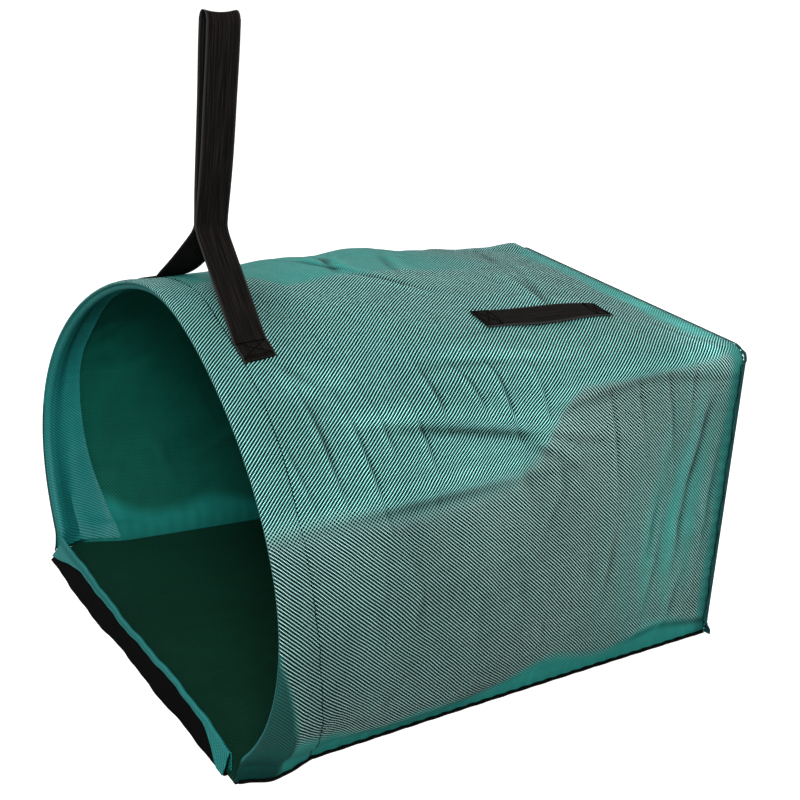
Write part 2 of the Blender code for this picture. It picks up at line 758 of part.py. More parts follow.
def build():
    """Make every piece of the bag."""
    remove_all_objects()
    green = finish("woven_green", GREEN, 0.62)
    dark_green = finish("liner_green", DARK_GREEN, 0.60)
    black = finish("base_black", BLACK, 0.55)
    webbing = finish("webbing_black", WEBBING_BLACK, 0.80)
    thread = finish("thread_black", THREAD_BLACK, 0.70)
    seam = finish("seam_green", SEAM_GREEN, 0.70)
    rod = finish("rod_white", ROD_WHITE, 0.35)
    vinyl = finish("vinyl_black", VINYL_BLACK, 0.45)

    bag = Pivot("bag", (0, 0, 0))
    shares = outline_shares()
    make_base(black, bag)
    make_floor_liner(dark_green, bag)
    make_wrap(shares, green, bag)
    make_rear(green, bag)
    make_rear_seam(shares, seam, bag)
    make_floor_seams(shares, seam, black, bag)
    make_facing(shares, dark_green, bag)
    make_hoop(shares, rod, vinyl, bag)
    make_hem_stitch(shares, thread, bag)
    make_strap_ends(webbing, thread, bag)
    make_grab_ends(webbing, thread, bag)

    lip_hinge = Pivot("lip_hinge", LIP_AXIS, bag)
    make_lip(black, vinyl, dark_green, lip_hinge)

    seat, direction, _, length = strap_line()
    fold = seat + direction * STRAP_TONGUE
    strap_hinge = Pivot("strap_hinge", (0, fold.y, fold.z), bag)
    make_strap_legs(webbing, strap_hinge)
    loop_hinge = Pivot("loop_hinge", seat + direction * length, strap_hinge)
    make_loop(webbing, thread, loop_hinge)

    grab_spot = place_grab(GRAB_FROM_EDGE + GRAB_LENGTH / 2, 0.0, GAP + GRAB_RISE)
    grab_lift = Pivot("grab_lift", grab_spot, bag)
    make_grab_strap(webbing, grab_lift)

    bpy.context.view_layer.update()
    for pivot in (lip_hinge, strap_hinge, loop_hinge, grab_lift):
        place = pivot.empty.matrix_world.translation
        print(pivot.empty.name, [round(value, 5) for value in place])


build()
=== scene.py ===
"""Dustpan leaf bag in its cloth, webbing and thread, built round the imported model.

Metres, +Z up. Shapes are worked out in the mouth's own count, where a depth of 0 is the mouth's
foot line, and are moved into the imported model's frame when their mesh is made. A share runs over
the wrap from -1 at the left foot through 0 at the crown to 1 at the right foot. An arc is a
distance over the cloth from the crown.
"""

import logging
import math
from dataclasses import dataclass, field
from enum import Enum

import bpy
import numpy as np
from mathutils import Matrix, Vector


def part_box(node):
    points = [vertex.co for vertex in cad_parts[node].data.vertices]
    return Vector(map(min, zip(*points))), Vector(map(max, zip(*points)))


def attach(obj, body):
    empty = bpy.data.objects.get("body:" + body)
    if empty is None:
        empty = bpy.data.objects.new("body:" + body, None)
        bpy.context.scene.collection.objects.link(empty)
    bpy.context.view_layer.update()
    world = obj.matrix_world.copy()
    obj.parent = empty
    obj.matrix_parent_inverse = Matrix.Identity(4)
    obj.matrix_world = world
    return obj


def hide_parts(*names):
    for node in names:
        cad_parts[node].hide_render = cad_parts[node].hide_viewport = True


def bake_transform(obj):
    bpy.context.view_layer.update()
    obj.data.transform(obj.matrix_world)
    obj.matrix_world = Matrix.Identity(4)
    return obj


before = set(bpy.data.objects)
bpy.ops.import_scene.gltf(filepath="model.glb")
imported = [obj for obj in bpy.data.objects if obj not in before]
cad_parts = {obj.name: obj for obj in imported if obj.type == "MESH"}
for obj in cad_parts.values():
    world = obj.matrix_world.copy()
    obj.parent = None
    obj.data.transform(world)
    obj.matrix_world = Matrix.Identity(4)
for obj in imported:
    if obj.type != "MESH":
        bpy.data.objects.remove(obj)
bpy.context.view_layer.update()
MIDDLE_Y = -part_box("base_panel")[0].y

LOG = logging.getLogger("leaf_bag")
Array = np.ndarray
Piece = bpy.types.Object
Mesh = bpy.types.Mesh
Material = bpy.types.Material
Node = bpy.types.Node
NodeTree = bpy.types.NodeTree
Socket = bpy.types.NodeSocket
Colour = tuple[float, float, float]
Step = tuple[float, float]
Wave = tuple[float, float, float]
Bell = tuple[float, float, float, float, float]

# Thicknesses, the gaps between layers, and the webbing
CLOTH = 0.0016
BASE_CLOTH = 0.0020
GAP = 0.0003
LAYER_GAP = 0.0006
WEBBING = 0.0020
WEBBING_HALF = 0.0225
WEBBING_PLACES = 13
STITCH_LIFT = 0.0004
FLOOR_CLEAR = 0.0003
FOOT = BASE_CLOTH + GAP

# Names under which the meshes give the finishes their patterns, and their painted shade and highlights
UV_NAME = "cloth"
LEAN_NAME = "rib_lean"
PLAIN_NAME = "weave_closed"
# painted shade and painted highlights for each point of the wrap, added to a shade of 1
PAINTED_LIGHT_NAME = "painted_light_and_shade"


class Side(Enum):
    """Which half of the bag a piece is on, seen from in front of the mouth."""

    LEFT = -1
    RIGHT = 1

    @property
    def word(self) -> str:
        """The side's word in the names of pieces."""
        return self.name.lower()


# Numbers in arrays


def ease(value: Array | float) -> Array:
    """A smooth step from 0 to 1: three squares less two cubes of the clipped value."""
    value = np.clip(value, 0.0, 1.0)
    return value * value * (3 - 2 * value)


def eased(value: Array, step: Step) -> Array:
    """A smooth step that starts at a pair's first number and is full its second number later."""
    return ease((value - step[0]) / step[1])


def wave(place: Array, length: float, turn: Array | float = 0.0) -> Array:
    """A sine wave with a length from crest to crest, shifted by a turn."""
    return np.sin(math.tau * place / length + turn)


def waves(table: tuple[Wave, ...], place: Array) -> Array:
    """Sine waves added up, each from its size, length and turn."""
    return sum(size * wave(place, length, turn) for size, length, turn in table)


def hump(share: Array) -> Array:
    """Half a sine wave over 0 to 1: 0 at both ends and 1 in the middle."""
    return np.sin(math.pi * share)


def bump(distance: Array, width: float) -> Array:
    """A bell of height 1: e to the minus square of the distance in widths."""
    return np.exp(-np.square(distance / width))


def bells(table: tuple[Bell, ...], arc: Array, depth: Array) -> Array:
    """Bells added up, each from its arc, depth, width over the arc, width over the depth and height."""
    return sum(height * bump(arc - a, wide) * bump(depth - d, deep) for a, d, wide, deep, height in table)


def unit(vectors: Array) -> Array:
    """Vectors brought to length 1."""
    return vectors / np.maximum(np.linalg.norm(vectors, axis=-1, keepdims=True), 1e-12)


def crowded(count: int, power: float) -> Array:
    """Values from 0 to 1, closer together at the start: even steps to a power."""
    return np.linspace(0.0, 1.0, count) ** power


def travelled(points: Array) -> Array:
    """The distance walked along a line up to each of its points."""
    return np.concatenate([[0.0], np.cumsum(np.linalg.norm(np.diff(points, axis=0), axis=1))])


def along_line(points: Array, distances: Array, values: Array) -> Array:
    """Values read at distances walked along a line, each axis interpolated on its own."""
    walked = travelled(points)
    return np.stack([np.interp(distances, walked, values[:, axis]) for axis in range(3)], -1)


def smoothed(points: Array, passes: int) -> Array:
    """Rows of points evened out along the first axis.

    Args:
        points: the rows.
        passes: how often each point becomes a quarter, half and quarter mean of three.

    Returns:
        The rows, with the first and the last in place.
    """
    for _ in range(passes):
        points = points.copy()
        points[1:-1] = (points[:-2] + 2 * points[1:-1] + points[2:]) / 4
    return points


def bilinear(table: Array, row: Array, column: Array) -> Array:
    """A table read between its entries.

    Args:
        table: values on an even grid.
        row: places along the first axis, from 0 to 1.
        column: places along the second axis, from 0 to 1.

    Returns:
        The four nearest entries mixed by how near they are.
    """
    rows, columns = table.shape
    r = np.clip(row, 0, 1) * (rows - 1)
    c = np.clip(column, 0, 1) * (columns - 1)
    r0 = np.minimum(r.astype(int), rows - 2)
    c0 = np.minimum(c.astype(int), columns - 2)
    fr, fc = r - r0, c - c0
    low = table[r0, c0] * (1 - fc) + table[r0, c0 + 1] * fc
    high = table[r0 + 1, c0] * (1 - fc) + table[r0 + 1, c0 + 1] * fc
    return low * (1 - fr) + high * fr


# Meshes from arrays


def grid_quads(rows: int, columns: int) -> Array:
    """The squares of a grid of points counted row by row.

    Args:
        rows: the grid's rows.
        columns: the grid's columns.

    Returns:
        Four point numbers for each square.
    """
    i, j = np.meshgrid(np.arange(rows - 1), np.arange(columns - 1), indexing="ij")
    first = i * columns + j
    return np.stack([first, first + columns, first + columns + 1, first + 1], -1).reshape(-1, 4)


def rim_quads(rows: int, columns: int, offset: int) -> Array:
    """Squares that close the border between a grid and its copy.

    Args:
        rows: the grid's rows.
        columns: the grid's columns.
        offset: how much later the copy's points are counted.

    Returns:
        Four point numbers for each square.
    """
    index = np.arange(rows * columns).reshape(rows, columns)
    loop = np.concatenate([index[:-1, 0], index[-1, :-1], index[:0:-1, -1], index[0, :0:-1]])
    after = np.roll(loop, -1)
    return np.stack([after, loop, loop + offset, after + offset], -1)


def signed_volume(points: Array, quads: Array) -> float:
    """The volume that closed squares hold: the sixth of each half square's triple product, added up.

    Args:
        points: the points.
        quads: four point numbers for each square.

    Returns:
        The volume, below 0 when the squares face inwards.
    """
    total = 0.0
    for a, b, c in ((0, 1, 2), (0, 2, 3)):
        corners = points[quads[:, a]], points[quads[:, b]], points[quads[:, c]]
        total += float(np.einsum("ij,ij->i", corners[0], np.cross(corners[1], corners[2])).sum()) / 6
    return total


def mesh_object(name: str, points: Array, quads: Array, uv: Array, materials: list[Material],
                kinds: Array | None = None, sharp: float = 40.0, marks: dict[str, Array] | None = None,
                joined: tuple[Array, Array] | None = None) -> Piece:
    """A smooth-shaded object from points and squares.

    Args:
        name: the piece's name.
        points: its points in the mouth's count.
        quads: four point numbers for each face.
        uv: a pair in metres for each point, for the pattern on the cloth.
        materials: the materials in the order of their numbers.
        kinds: the material number of each face.
        sharp: the angle in degrees past which an edge stays sharp.
        marks: named values for each point, which the finishes read.
        joined: numbers of points where another piece carries on, with their outward directions.

    Returns:
        The object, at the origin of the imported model's frame.
    """
    points = points - np.array((0.0, MIDDLE_Y, 0.0))
    if signed_volume(points, quads) < 0:
        quads = quads[:, ::-1]
    mesh = bpy.data.meshes.new(name)
    mesh.vertices.add(len(points))
    mesh.vertices.foreach_set("co", points.astype(np.float32).ravel())
    mesh.loops.add(quads.size)
    mesh.loops.foreach_set("vertex_index", quads.astype(np.int32).ravel())
    mesh.polygons.add(len(quads))
    mesh.polygons.foreach_set("loop_start", np.arange(0, quads.size, 4, dtype=np.int32))
    if kinds is not None:
        mesh.polygons.foreach_set("material_index", kinds.astype(np.int32))
    layer = mesh.uv_layers.new(name=UV_NAME)
    layer.data.foreach_set("uv", uv[quads.ravel()].astype(np.float32).ravel())
    for key, values in (marks or {}).items():
        mark = mesh.attributes.new(key, "FLOAT", "POINT")
        mark.data.foreach_set("value", values.astype(np.float32))
    mesh.update(calc_edges=True)
    mesh.validate()
    mesh.shade_smooth()
    mesh.set_sharp_from_angle(angle=math.radians(sharp))
    if joined is not None:
        carry_on(mesh, *joined)
    for material in materials:
        mesh.materials.append(material)
    piece = bpy.data.objects.new(name, mesh)
    bpy.context.scene.collection.objects.link(piece)
    return piece


def carry_on(mesh: Mesh, numbers: Array, directions: Array) -> None:
    """Give points on a join the directions that both pieces share there, and leave the rest alone.

    Args:
        mesh: the piece's mesh.
        numbers: the points on the join.
        directions: their outward directions.
    """
    corner = np.empty(len(mesh.loops), np.int32)
    mesh.loops.foreach_get("vertex_index", corner)
    table = np.zeros((len(mesh.vertices), 3))
    table[numbers] = directions
    mesh.normals_split_custom_set(table[corner].tolist())


def shell(name: str, outer: Array, inner: Array, uv: Array, materials: list[Material],
          marks: dict[str, Array] | None = None, turned: int = 0,
          joined: Array | None = None) -> Piece:
    """A closed sheet from two grids of points, its rim joining their borders.

    Args:
        name: the piece's name.
        outer: rows and columns of points on the first face.
        inner: the matching points on the second face.
        uv: rows and columns of pairs in metres.
        materials: one for all, or one for each face and one for what is turned in.
        marks: named rows and columns of values, which the finishes read.
        turned: how many columns of the outer face are turned in.
        joined: outward directions along the first row, where another piece carries on.

    Returns:
        The object.
    """
    rows, columns = outer.shape[:2]
    count = rows * columns
    points = np.concatenate([outer.reshape(-1, 3), inner.reshape(-1, 3)])
    face = grid_quads(rows, columns)
    quads = np.concatenate([face, face[:, ::-1] + count, rim_quads(rows, columns, count)])
    kinds = np.zeros(len(quads))
    if len(materials) > 1:
        kinds[len(face):2 * len(face)] = 1
        kinds[:len(face)].reshape(rows - 1, columns - 1)[:, :turned] = 2
    both = {key: np.tile(values.ravel(), 2) for key, values in (marks or {}).items()}
    if joined is not None:
        first = np.arange(columns)
        joined = np.concatenate([first, first + count]), np.concatenate([joined, -joined])
    pairs = np.tile(uv.reshape(-1, 2), (2, 1))
    return mesh_object(name, points, quads, pairs, materials, kinds, marks=both, joined=joined)


def grid_normals(middle: Array) -> Array:
    """The directions square to a grid of points: its two slopes crossed."""
    return unit(np.cross(np.gradient(middle, axis=0), np.gradient(middle, axis=1)))


def measured_uv(middle: Array) -> Array:
    """Pairs in metres over a grid: the mean distance walked along its rows and along its columns.

    Args:
        middle: rows and columns of points.

    Returns:
        Rows and columns of pairs, 0 at the first row and in the middle of the columns.
    """
    down = np.linalg.norm(np.diff(middle, axis=0), axis=2).mean(axis=1)
    over = np.linalg.norm(np.diff(middle, axis=1), axis=2).mean(axis=0)
    u, v = (np.concatenate([[0.0], np.cumsum(steps)]) for steps in (down, over))
    return np.stack(np.broadcast_arrays(u[:, None], v[None, :] - v[-1] / 2), -1)


def sheet_round(name: str, middle: Array, thickness: Array | float,
                material: Material) -> Piece:
    """A closed sheet round a grid of points, half its thickness on each side."""
    half = grid_normals(middle) * np.asarray(thickness)[..., None] / 2
    return shell(name, middle + half, middle - half, measured_uv(middle), [material])


# Webbing and thread


def selvage() -> tuple[Array, Array]:
    """Places over a webbing from -1 to 1, a sine, and shares of its thickness, falling round each edge."""
    across = np.sin(np.linspace(-math.pi / 2, math.pi / 2, WEBBING_PLACES))
    return across, 0.35 + 0.65 * np.sqrt(1 - np.abs(across) ** 8)


def band(name: str, rows: Array, material: Material) -> Piece:
    """Webbing round rows of points that each lie over its width."""
    thin = np.broadcast_to(selvage()[1][None, :], rows.shape[:2])
    return sheet_round(name, rows, WEBBING * thin, material)


def lines_on(rows: Array, outward: Array, pairs: list[Array], lift: float) -> list[tuple[Array, Array]]:
    """Lines of stitches drawn on a webbing's middle face, each read from its rows of points.

    Args:
        rows: the middle face.
        outward: its outward directions.
        pairs: for each line its places as (share along the rows, place over the width).
        lift: how far the lines stand off the middle face.

    Returns:
        For each line its points and its outward directions.
    """
    lines = []
    for pair in pairs:
        column = np.arcsin(pair[:, 1]) / math.pi + 0.5
        spot, up = (np.stack([bilinear(grid[..., axis], pair[:, 0], column) for axis in range(3)], -1)
                    for grid in (rows, outward))
        lines.append((spot + up * lift, up))
    return lines


@dataclass(frozen=True)
class Bead:
    """One visible stitch: a short rounded bar of thread."""

    length: float = 0.0036
    width: float = 0.0013
    height: float = 0.0010
    rings: tuple[tuple[float, float], ...] = ((-0.5, 0.45), (-0.32, 0.95), (0.32, 0.95), (0.5, 0.45))
    sides: int = 6

    def template(self) -> tuple[Array, Array]:
        """One stitch: rings of a tube round its length, with closed ends.

        Returns:
            Points as (along, across, up) and faces.
        """
        angle = np.arange(self.sides) * math.tau / self.sides
        ring = np.stack([np.zeros(self.sides), np.cos(angle) * self.width / 2,
                         np.sin(angle) * self.height / 2], -1)
        points = np.concatenate([ring * size + (place * self.length, 0, 0) for place, size in self.rings])
        here = np.arange(self.sides)
        after = np.roll(here, -1)
        quads = [np.stack([here, after, after + self.sides, here + self.sides], -1) + level * self.sides
                 for level in range(len(self.rings) - 1)]
        cap = np.array([[0, 1, 2, 3], [0, 3, 4, 5]])
        last = (len(self.rings) - 1) * self.sides
        return points, np.concatenate([*quads, cap[:, ::-1], cap + last])

    def sew(self, name: str, lines: list[tuple[Array, Array]], pitch: float,
            material: Material) -> Piece:
        """Stitches set end to end along lines.

        Args:
            name: the piece's name.
            lines: for each line its points and the outward direction at each of them.
            pitch: the distance from one stitch to the next.
            material: the thread.

        Returns:
            One object with every stitch.
        """
        places, headings, ups = [], [], []
        for points, outward in lines:
            spots = (np.arange(int(travelled(points)[-1] / pitch)) + 0.5) * pitch
            behind, ahead = (along_line(points, spots + step, points) for step in (-pitch / 4, pitch / 4))
            places.append(along_line(points, spots, points))
            headings.append(unit(ahead - behind))
            ups.append(unit(along_line(points, spots, outward)))
        centre, heading, up = (np.concatenate(group) for group in (places, headings, ups))
        over = unit(np.cross(up, heading))
        up = np.cross(heading, over)
        shape, faces = self.template()
        points = centre[:, None] + np.einsum("pk,nkx->npx", shape, np.stack([heading, over, up], 1))
        quads = faces[None] + (np.arange(len(centre)) * len(shape))[:, None, None]
        pair = np.stack([shape[:, 0], np.arctan2(shape[:, 2], shape[:, 1]) * self.width / 2], -1)
        uv = np.broadcast_to(pair, (len(centre), *pair.shape))
        return mesh_object(name, points.reshape(-1, 3), quads.reshape(-1, 4), uv.reshape(-1, 2),
                           [material], sharp=60.0)


END_BEAD = Bead(length=0.0032, width=0.0012)
END_PITCH = 0.0042


# Shader graphs


class Graph:
    """The nodes of one tree, added and linked by short calls."""

    def __init__(self, tree: NodeTree) -> None:
        """Take the tree that the nodes go into."""
        self.tree = tree

    def feed(self, socket: Socket, value: object) -> None:
        """Link a socket, or set a plain value on it, a colour with full opacity.

        Args:
            socket: the input.
            value: another node's output, a number, a colour or a vector.
        """
        if isinstance(value, Socket):
            self.tree.links.new(value, socket)
        elif socket.type == "RGBA":
            socket.default_value = (*value, 1.0)
        else:
            socket.default_value = value

    def node(self, kind: str, inputs: dict | None = None, **settings: object) -> Node:
        """Add a node.

        Args:
            kind: the node's kind without its prefix.
            inputs: values or sockets for its inputs, by name or number.
            settings: its own options.

        Returns:
            The node.
        """
        made = self.tree.nodes.new("ShaderNode" + kind)
        for key, value in settings.items():
            setattr(made, key, value)
        for key, value in (inputs or {}).items():
            self.feed(made.inputs[key], value)
        return made

    def group(self, tree: NodeTree, inputs: dict) -> object:
        """A node group's outputs, with its inputs fed by name."""
        return self.node("Group", inputs, node_tree=tree).outputs

    def math(self, operation: str, *values: object) -> Socket:
        """One sum or function of up to three values."""
        return self.node("Math", dict(enumerate(values)), operation=operation).outputs[0]

    def product(self, first: object, *others: object) -> Socket:
        """Values multiplied one after the other.

        Args:
            first: the first value.
            others: the values that it is multiplied by.

        Returns:
            The last product.
        """
        for value in others:
            first = self.math("MULTIPLY", first, value)
        return first

    def less(self, value: object) -> Socket:
        """What a value leaves of 1."""
        return self.math("SUBTRACT", 1.0, value)

    def bow(self, value: object, power: float) -> Socket:
        """A bow over 0 to 1: one less a power of the distance from the middle."""
        off = self.math("ABSOLUTE", self.math("MULTIPLY_ADD", value, 2.0, -1.0))
        return self.less(self.math("POWER", off, power))

    def sine(self, value: object, length: object) -> Socket:
        """A sine wave of a value, with a length from crest to crest."""
        return self.math("SINE", self.math("MULTIPLY", self.math("DIVIDE", value, length), math.tau))

    def parts(self, vector: object) -> object:
        """The three numbers of a vector."""
        return self.node("SeparateXYZ", {0: vector}).outputs

    def stretched(self, vector: object, scales: tuple[float, float, float]) -> Socket:
        """A vector with each number multiplied by its own scale."""
        return self.node("VectorMath", {0: vector, 1: scales}, operation="MULTIPLY").outputs[0]

    def scaled(self, vector: object, scale: object) -> Socket:
        """A vector or a colour times a number."""
        return self.node("VectorMath", {0: vector, "Scale": scale}, operation="SCALE").outputs[0]

    def mix(self, share: object, first: object, second: object) -> Socket:
        """Two colours mixed by a share."""
        return self.node("Mix", {0: share, 6: first, 7: second}, data_type="RGBA").outputs[2]

    def spread(self, value: object, low: object, high: object, start: float = 0.0,
               end: float = 1.0) -> Socket:
        """A value brought from one range, start to end, to another, low to high, and held inside it."""
        return self.node("MapRange", {0: value, 1: start, 2: end, 3: low, 4: high}).outputs[0]

    def noise(self, vector: object, scale: float, detail: float = 2.0) -> Socket:
        """Soft noise from 0 to 1."""
        return self.node("TexNoise", {"Vector": vector, "Scale": scale, "Detail": detail}).outputs[0]

    def mark(self, name: str) -> Socket:
        """A value kept for each point of the mesh, or 0 where there is none."""
        return self.node("Attribute", attribute_name=name).outputs["Fac"]

    def through_camera(self, elsewhere: object, seen: object) -> Socket:
        """One colour where the camera looks straight at a place, and another for the light that it gives."""
        return self.mix(self.node("LightPath").outputs["Is Camera Ray"], elsewhere, seen)


def group_tree(name: str, inputs: dict[str, float | None],
               outputs: tuple[str, ...]) -> tuple[Graph, dict, object]:
    """A new node group with its sockets.

    Args:
        name: the group's name.
        inputs: each input's first value, or None where it takes a vector.
        outputs: the names of its outputs, all plain numbers.

    Returns:
        The graph, the input sockets by name, and the sockets that take the outputs.
    """
    tree = bpy.data.node_groups.new(name, "ShaderNodeTree")
    for key, value in inputs.items():
        kind = "NodeSocketVector" if value is None else "NodeSocketFloat"
        socket = tree.interface.new_socket(key, in_out="INPUT", socket_type=kind)
        if value is not None:
            socket.default_value = value
    for key in outputs:
        tree.interface.new_socket(key, in_out="OUTPUT", socket_type="NodeSocketFloat")
    start = tree.nodes.new("NodeGroupInput")
    end = tree.nodes.new("NodeGroupOutput")
    return Graph(tree), {key: start.outputs[key] for key in inputs}, end.inputs


def tape_weave_group() -> NodeTree:
    """Flat tapes in a twill, each passing over some and under the rest, which makes slanting ribs.

    The place is counted in tapes both ways. The running tape's number plus the place along it,
    counted round a turn of four, says where a float starts and ends: the light tape lies on top in
    the first share of the turn and the dark one in the rest. The same is done with the first count
    turned over, and the lean mixes the two, so the ribs can slant either way.

    Returns:
        The group, with the light tape's mask, the height, the tape's edge and a number of its own
        for each tape.
    """
    turn_of, edge_power, float_power, first_tape = 4.0, 7.0, 2.5, 517.0
    graph, given, taken = group_tree(
        "tape_weave", {"Vector": None, "Across": 0.0012, "Along": 0.0014, "Width": 0.5,
                       "Leaning width": 0.5, "Wander": 0.0005, "Lean": 0.0},
        ("Light", "Height", "Edge", "Tape"))
    wander = graph.node("TexNoise", {"Vector": given["Vector"], "Scale": 14.0, "Detail": 1.5})
    shift = graph.node("VectorMath", {0: wander.outputs["Color"], 1: (0.5, 0.5, 0.5)}, operation="SUBTRACT")
    moved = graph.scaled(shift.outputs[0], given["Wander"])
    place = graph.node("VectorMath", {0: given["Vector"], 1: moved}, operation="ADD")
    parts = graph.parts(place.outputs[0])
    along = graph.math("DIVIDE", parts[1], given["Along"])
    across = graph.math("DIVIDE", parts[0], given["Across"])
    along_tape, across_tape = graph.math("FLOOR", along), graph.math("FLOOR", across)
    edges = [graph.bow(graph.math("FRACT", count), edge_power) for count in (across, along)]
    found = []
    for turn, width in ((1.0, given["Width"]), (-1.0, given["Leaning width"])):
        reach = graph.math("MULTIPLY", width, turn_of)
        phase = graph.math("FLOORED_MODULO", graph.math("MULTIPLY_ADD", across, turn, along_tape), turn_of)
        light = graph.math("LESS_THAN", phase, reach)
        float_place = graph.math("DIVIDE", phase, reach)
        after = graph.math("DIVIDE", graph.math("SUBTRACT", phase, reach),
                           graph.math("SUBTRACT", turn_of, reach))
        over = graph.product(graph.bow(float_place, float_power), edges[1], light)
        under = graph.product(graph.bow(after, float_power), edges[0], graph.less(light))
        found.append((light, graph.math("ADD", over, under)))
    light, height = (graph.spread(given["Lean"], *values) for values in zip(*found))
    tape = graph.math("ADD", graph.math("MULTIPLY", across_tape, light), graph.math(
        "MULTIPLY", graph.math("ADD", along_tape, first_tape), graph.less(light)))
    number = graph.node("TexWhiteNoise", {"W": tape}, noise_dimensions="1D").outputs[0]
    for key, value in (("Light", light), ("Height", height), ("Edge", edges[1]), ("Tape", number)):
        graph.feed(taken[key], value)
    return graph.tree


def mottle_group() -> NodeTree:
    """Uneven handling of cloth: broad patches, small blotches and fine grain.

    Returns:
        The group, with a shade round 1, a dust mask and a fine height.
    """
    graph, given, taken = group_tree("cloth_mottle", {"Vector": None, "Strength": 0.2},
                                     ("Shade", "Dust", "Grain"))
    broad = graph.noise(given["Vector"], 6.0, 3.0)
    small = graph.noise(given["Vector"], 38.0, 3.0)
    both = graph.math("ADD", graph.math("MULTIPLY", broad, 0.6), graph.math("MULTIPLY", small, 0.4))
    centred = graph.math("SUBTRACT", both, 0.5)
    graph.feed(taken["Shade"], graph.math("MULTIPLY_ADD", centred, given["Strength"], 1.0))
    graph.feed(taken["Dust"], graph.spread(small, 0.0, 1.0, 0.52, 0.75))
    graph.feed(taken["Grain"], graph.noise(given["Vector"], 420.0, 2.0))
    return graph.tree


def webbing_group() -> NodeTree:
    """Webbing: rows of small ribs that lean in turn each way, with uneven lengthwise lines.

    The ribs are a wave over the length plus a lean that follows the place over the width. The
    lines are noise drawn out along the length.

    Returns:
        The group, with the rib's height, the line mask and the selvage mask.
    """
    graph, given, taken = group_tree("webbing_rib", {"Vector": None, "Rib": 0.0022, "Half": WEBBING_HALF},
                                     ("Height", "Line", "Edge"))
    parts = graph.parts(given["Vector"])
    leaning = graph.math("ADD", parts[0], graph.math("MULTIPLY", parts[1], 0.55))
    wave, cross = graph.sine(leaning, given["Rib"]), graph.sine(parts[1], 0.0014)
    both = graph.math("ADD", graph.math("MULTIPLY", wave, 0.35), graph.math("MULTIPLY", cross, 0.15))
    graph.feed(taken["Height"], graph.math("ADD", both, 0.5))
    drawn = graph.stretched(given["Vector"], (14.0, 620.0, 1.0))
    graph.feed(taken["Line"], graph.spread(graph.noise(drawn, 1.0), 0.0, 1.0, 0.42, 0.72))
    off = graph.math("DIVIDE", graph.math("ABSOLUTE", parts[1]), given["Half"])
    graph.feed(taken["Edge"], graph.spread(off, 0.0, 1.0, 0.86, 0.97))
    return graph.tree


def thread_group() -> NodeTree:
    """Twisted thread: slanting plies, a sine of the length and the place round it.

    Returns:
        The group, with the ply's height.
    """
    graph, given, taken = group_tree("thread_twist", {"Vector": None, "Ply": 0.0009}, ("Height",))
    parts = graph.parts(given["Vector"])
    wave = graph.sine(graph.math("ADD", parts[0], parts[1]), given["Ply"])
    graph.feed(taken["Height"], graph.math("MULTIPLY_ADD", wave, 0.5, 0.5))
    return graph.tree


class Effects:
    """The node groups that the finishes share, built once."""

    def __init__(self) -> None:
        """Build every group."""
        self.weave = tape_weave_group()
        self.mottle = mottle_group()
        self.webbing = webbing_group()
        self.thread = thread_group()


@dataclass(frozen=True)
class Finish:
    """A material's name and the values on its shader that stay the same all over."""

    name: str
    roughness: float
    specular: float = 0.5

    def make(self, effects: Effects) -> Material:
        """The finished material.

        Args:
            effects: the shared node groups.

        Returns:
            The material, with the nodes that this kind of finish lays.
        """
        material, graph, shader = self.start()
        self.paint(graph, shader, effects)
        return material

    def paint(self, graph: Graph, shader: Node, effects: Effects) -> None:
        """Lay the nodes before the shader, none for a bare finish."""

    def start(self) -> tuple[Material, Graph, Node]:
        """A new material with the values that stay the same all over.

        Returns:
            The material, its graph and its shader.
        """
        material = bpy.data.materials.new(self.name)
        material.use_nodes = True
        shader = material.node_tree.nodes["Principled BSDF"]
        shader.inputs["Roughness"].default_value = self.roughness
        shader.inputs["Specular IOR Level"].default_value = self.specular
        return material, Graph(material.node_tree), shader

    @staticmethod
    def pattern(graph: Graph) -> Socket:
        """The piece's own pattern coordinates, in metres."""
        return graph.node("UVMap", uv_map=UV_NAME).outputs[0]

    @staticmethod
    def place(graph: Graph) -> Socket:
        """The place on the object."""
        return graph.node("TexCoord").outputs["Object"]

    def mottled(self, graph: Graph, effects: Effects, strength: float = 0.2) -> object:
        """The mottle's outputs for this object."""
        return graph.group(effects.mottle, {"Vector": self.place(graph), "Strength": strength})

    def roughen(self, graph: Graph, shader: Node, mask: object, less: float, more: float) -> None:
        """Let a mask move the roughness from a little less to a little more."""
        rough = graph.spread(mask, self.roughness - less, self.roughness + more)
        graph.feed(shader.inputs["Roughness"], rough)

    @staticmethod
    def cover(graph: Graph, shader: Node, colour: object, shade: object, height: object,
              distance: float, strength: float = 1.0) -> None:
        """Give the shader its colour, and let a height turn the surface's direction.

        Args:
            graph: the material's graph.
            shader: its shader.
            colour: the colour before shading.
            shade: what the colour is multiplied by.
            height: the relief, from 0 to 1.
            distance: how far a height of 1 stands up.
            strength: how much of it is used.
        """
        graph.feed(shader.inputs["Base Color"], graph.scaled(colour, shade))
        inputs = {"Height": height, "Distance": distance, "Strength": strength}
        graph.feed(shader.inputs["Normal"], graph.node("Bump", inputs).outputs[0])


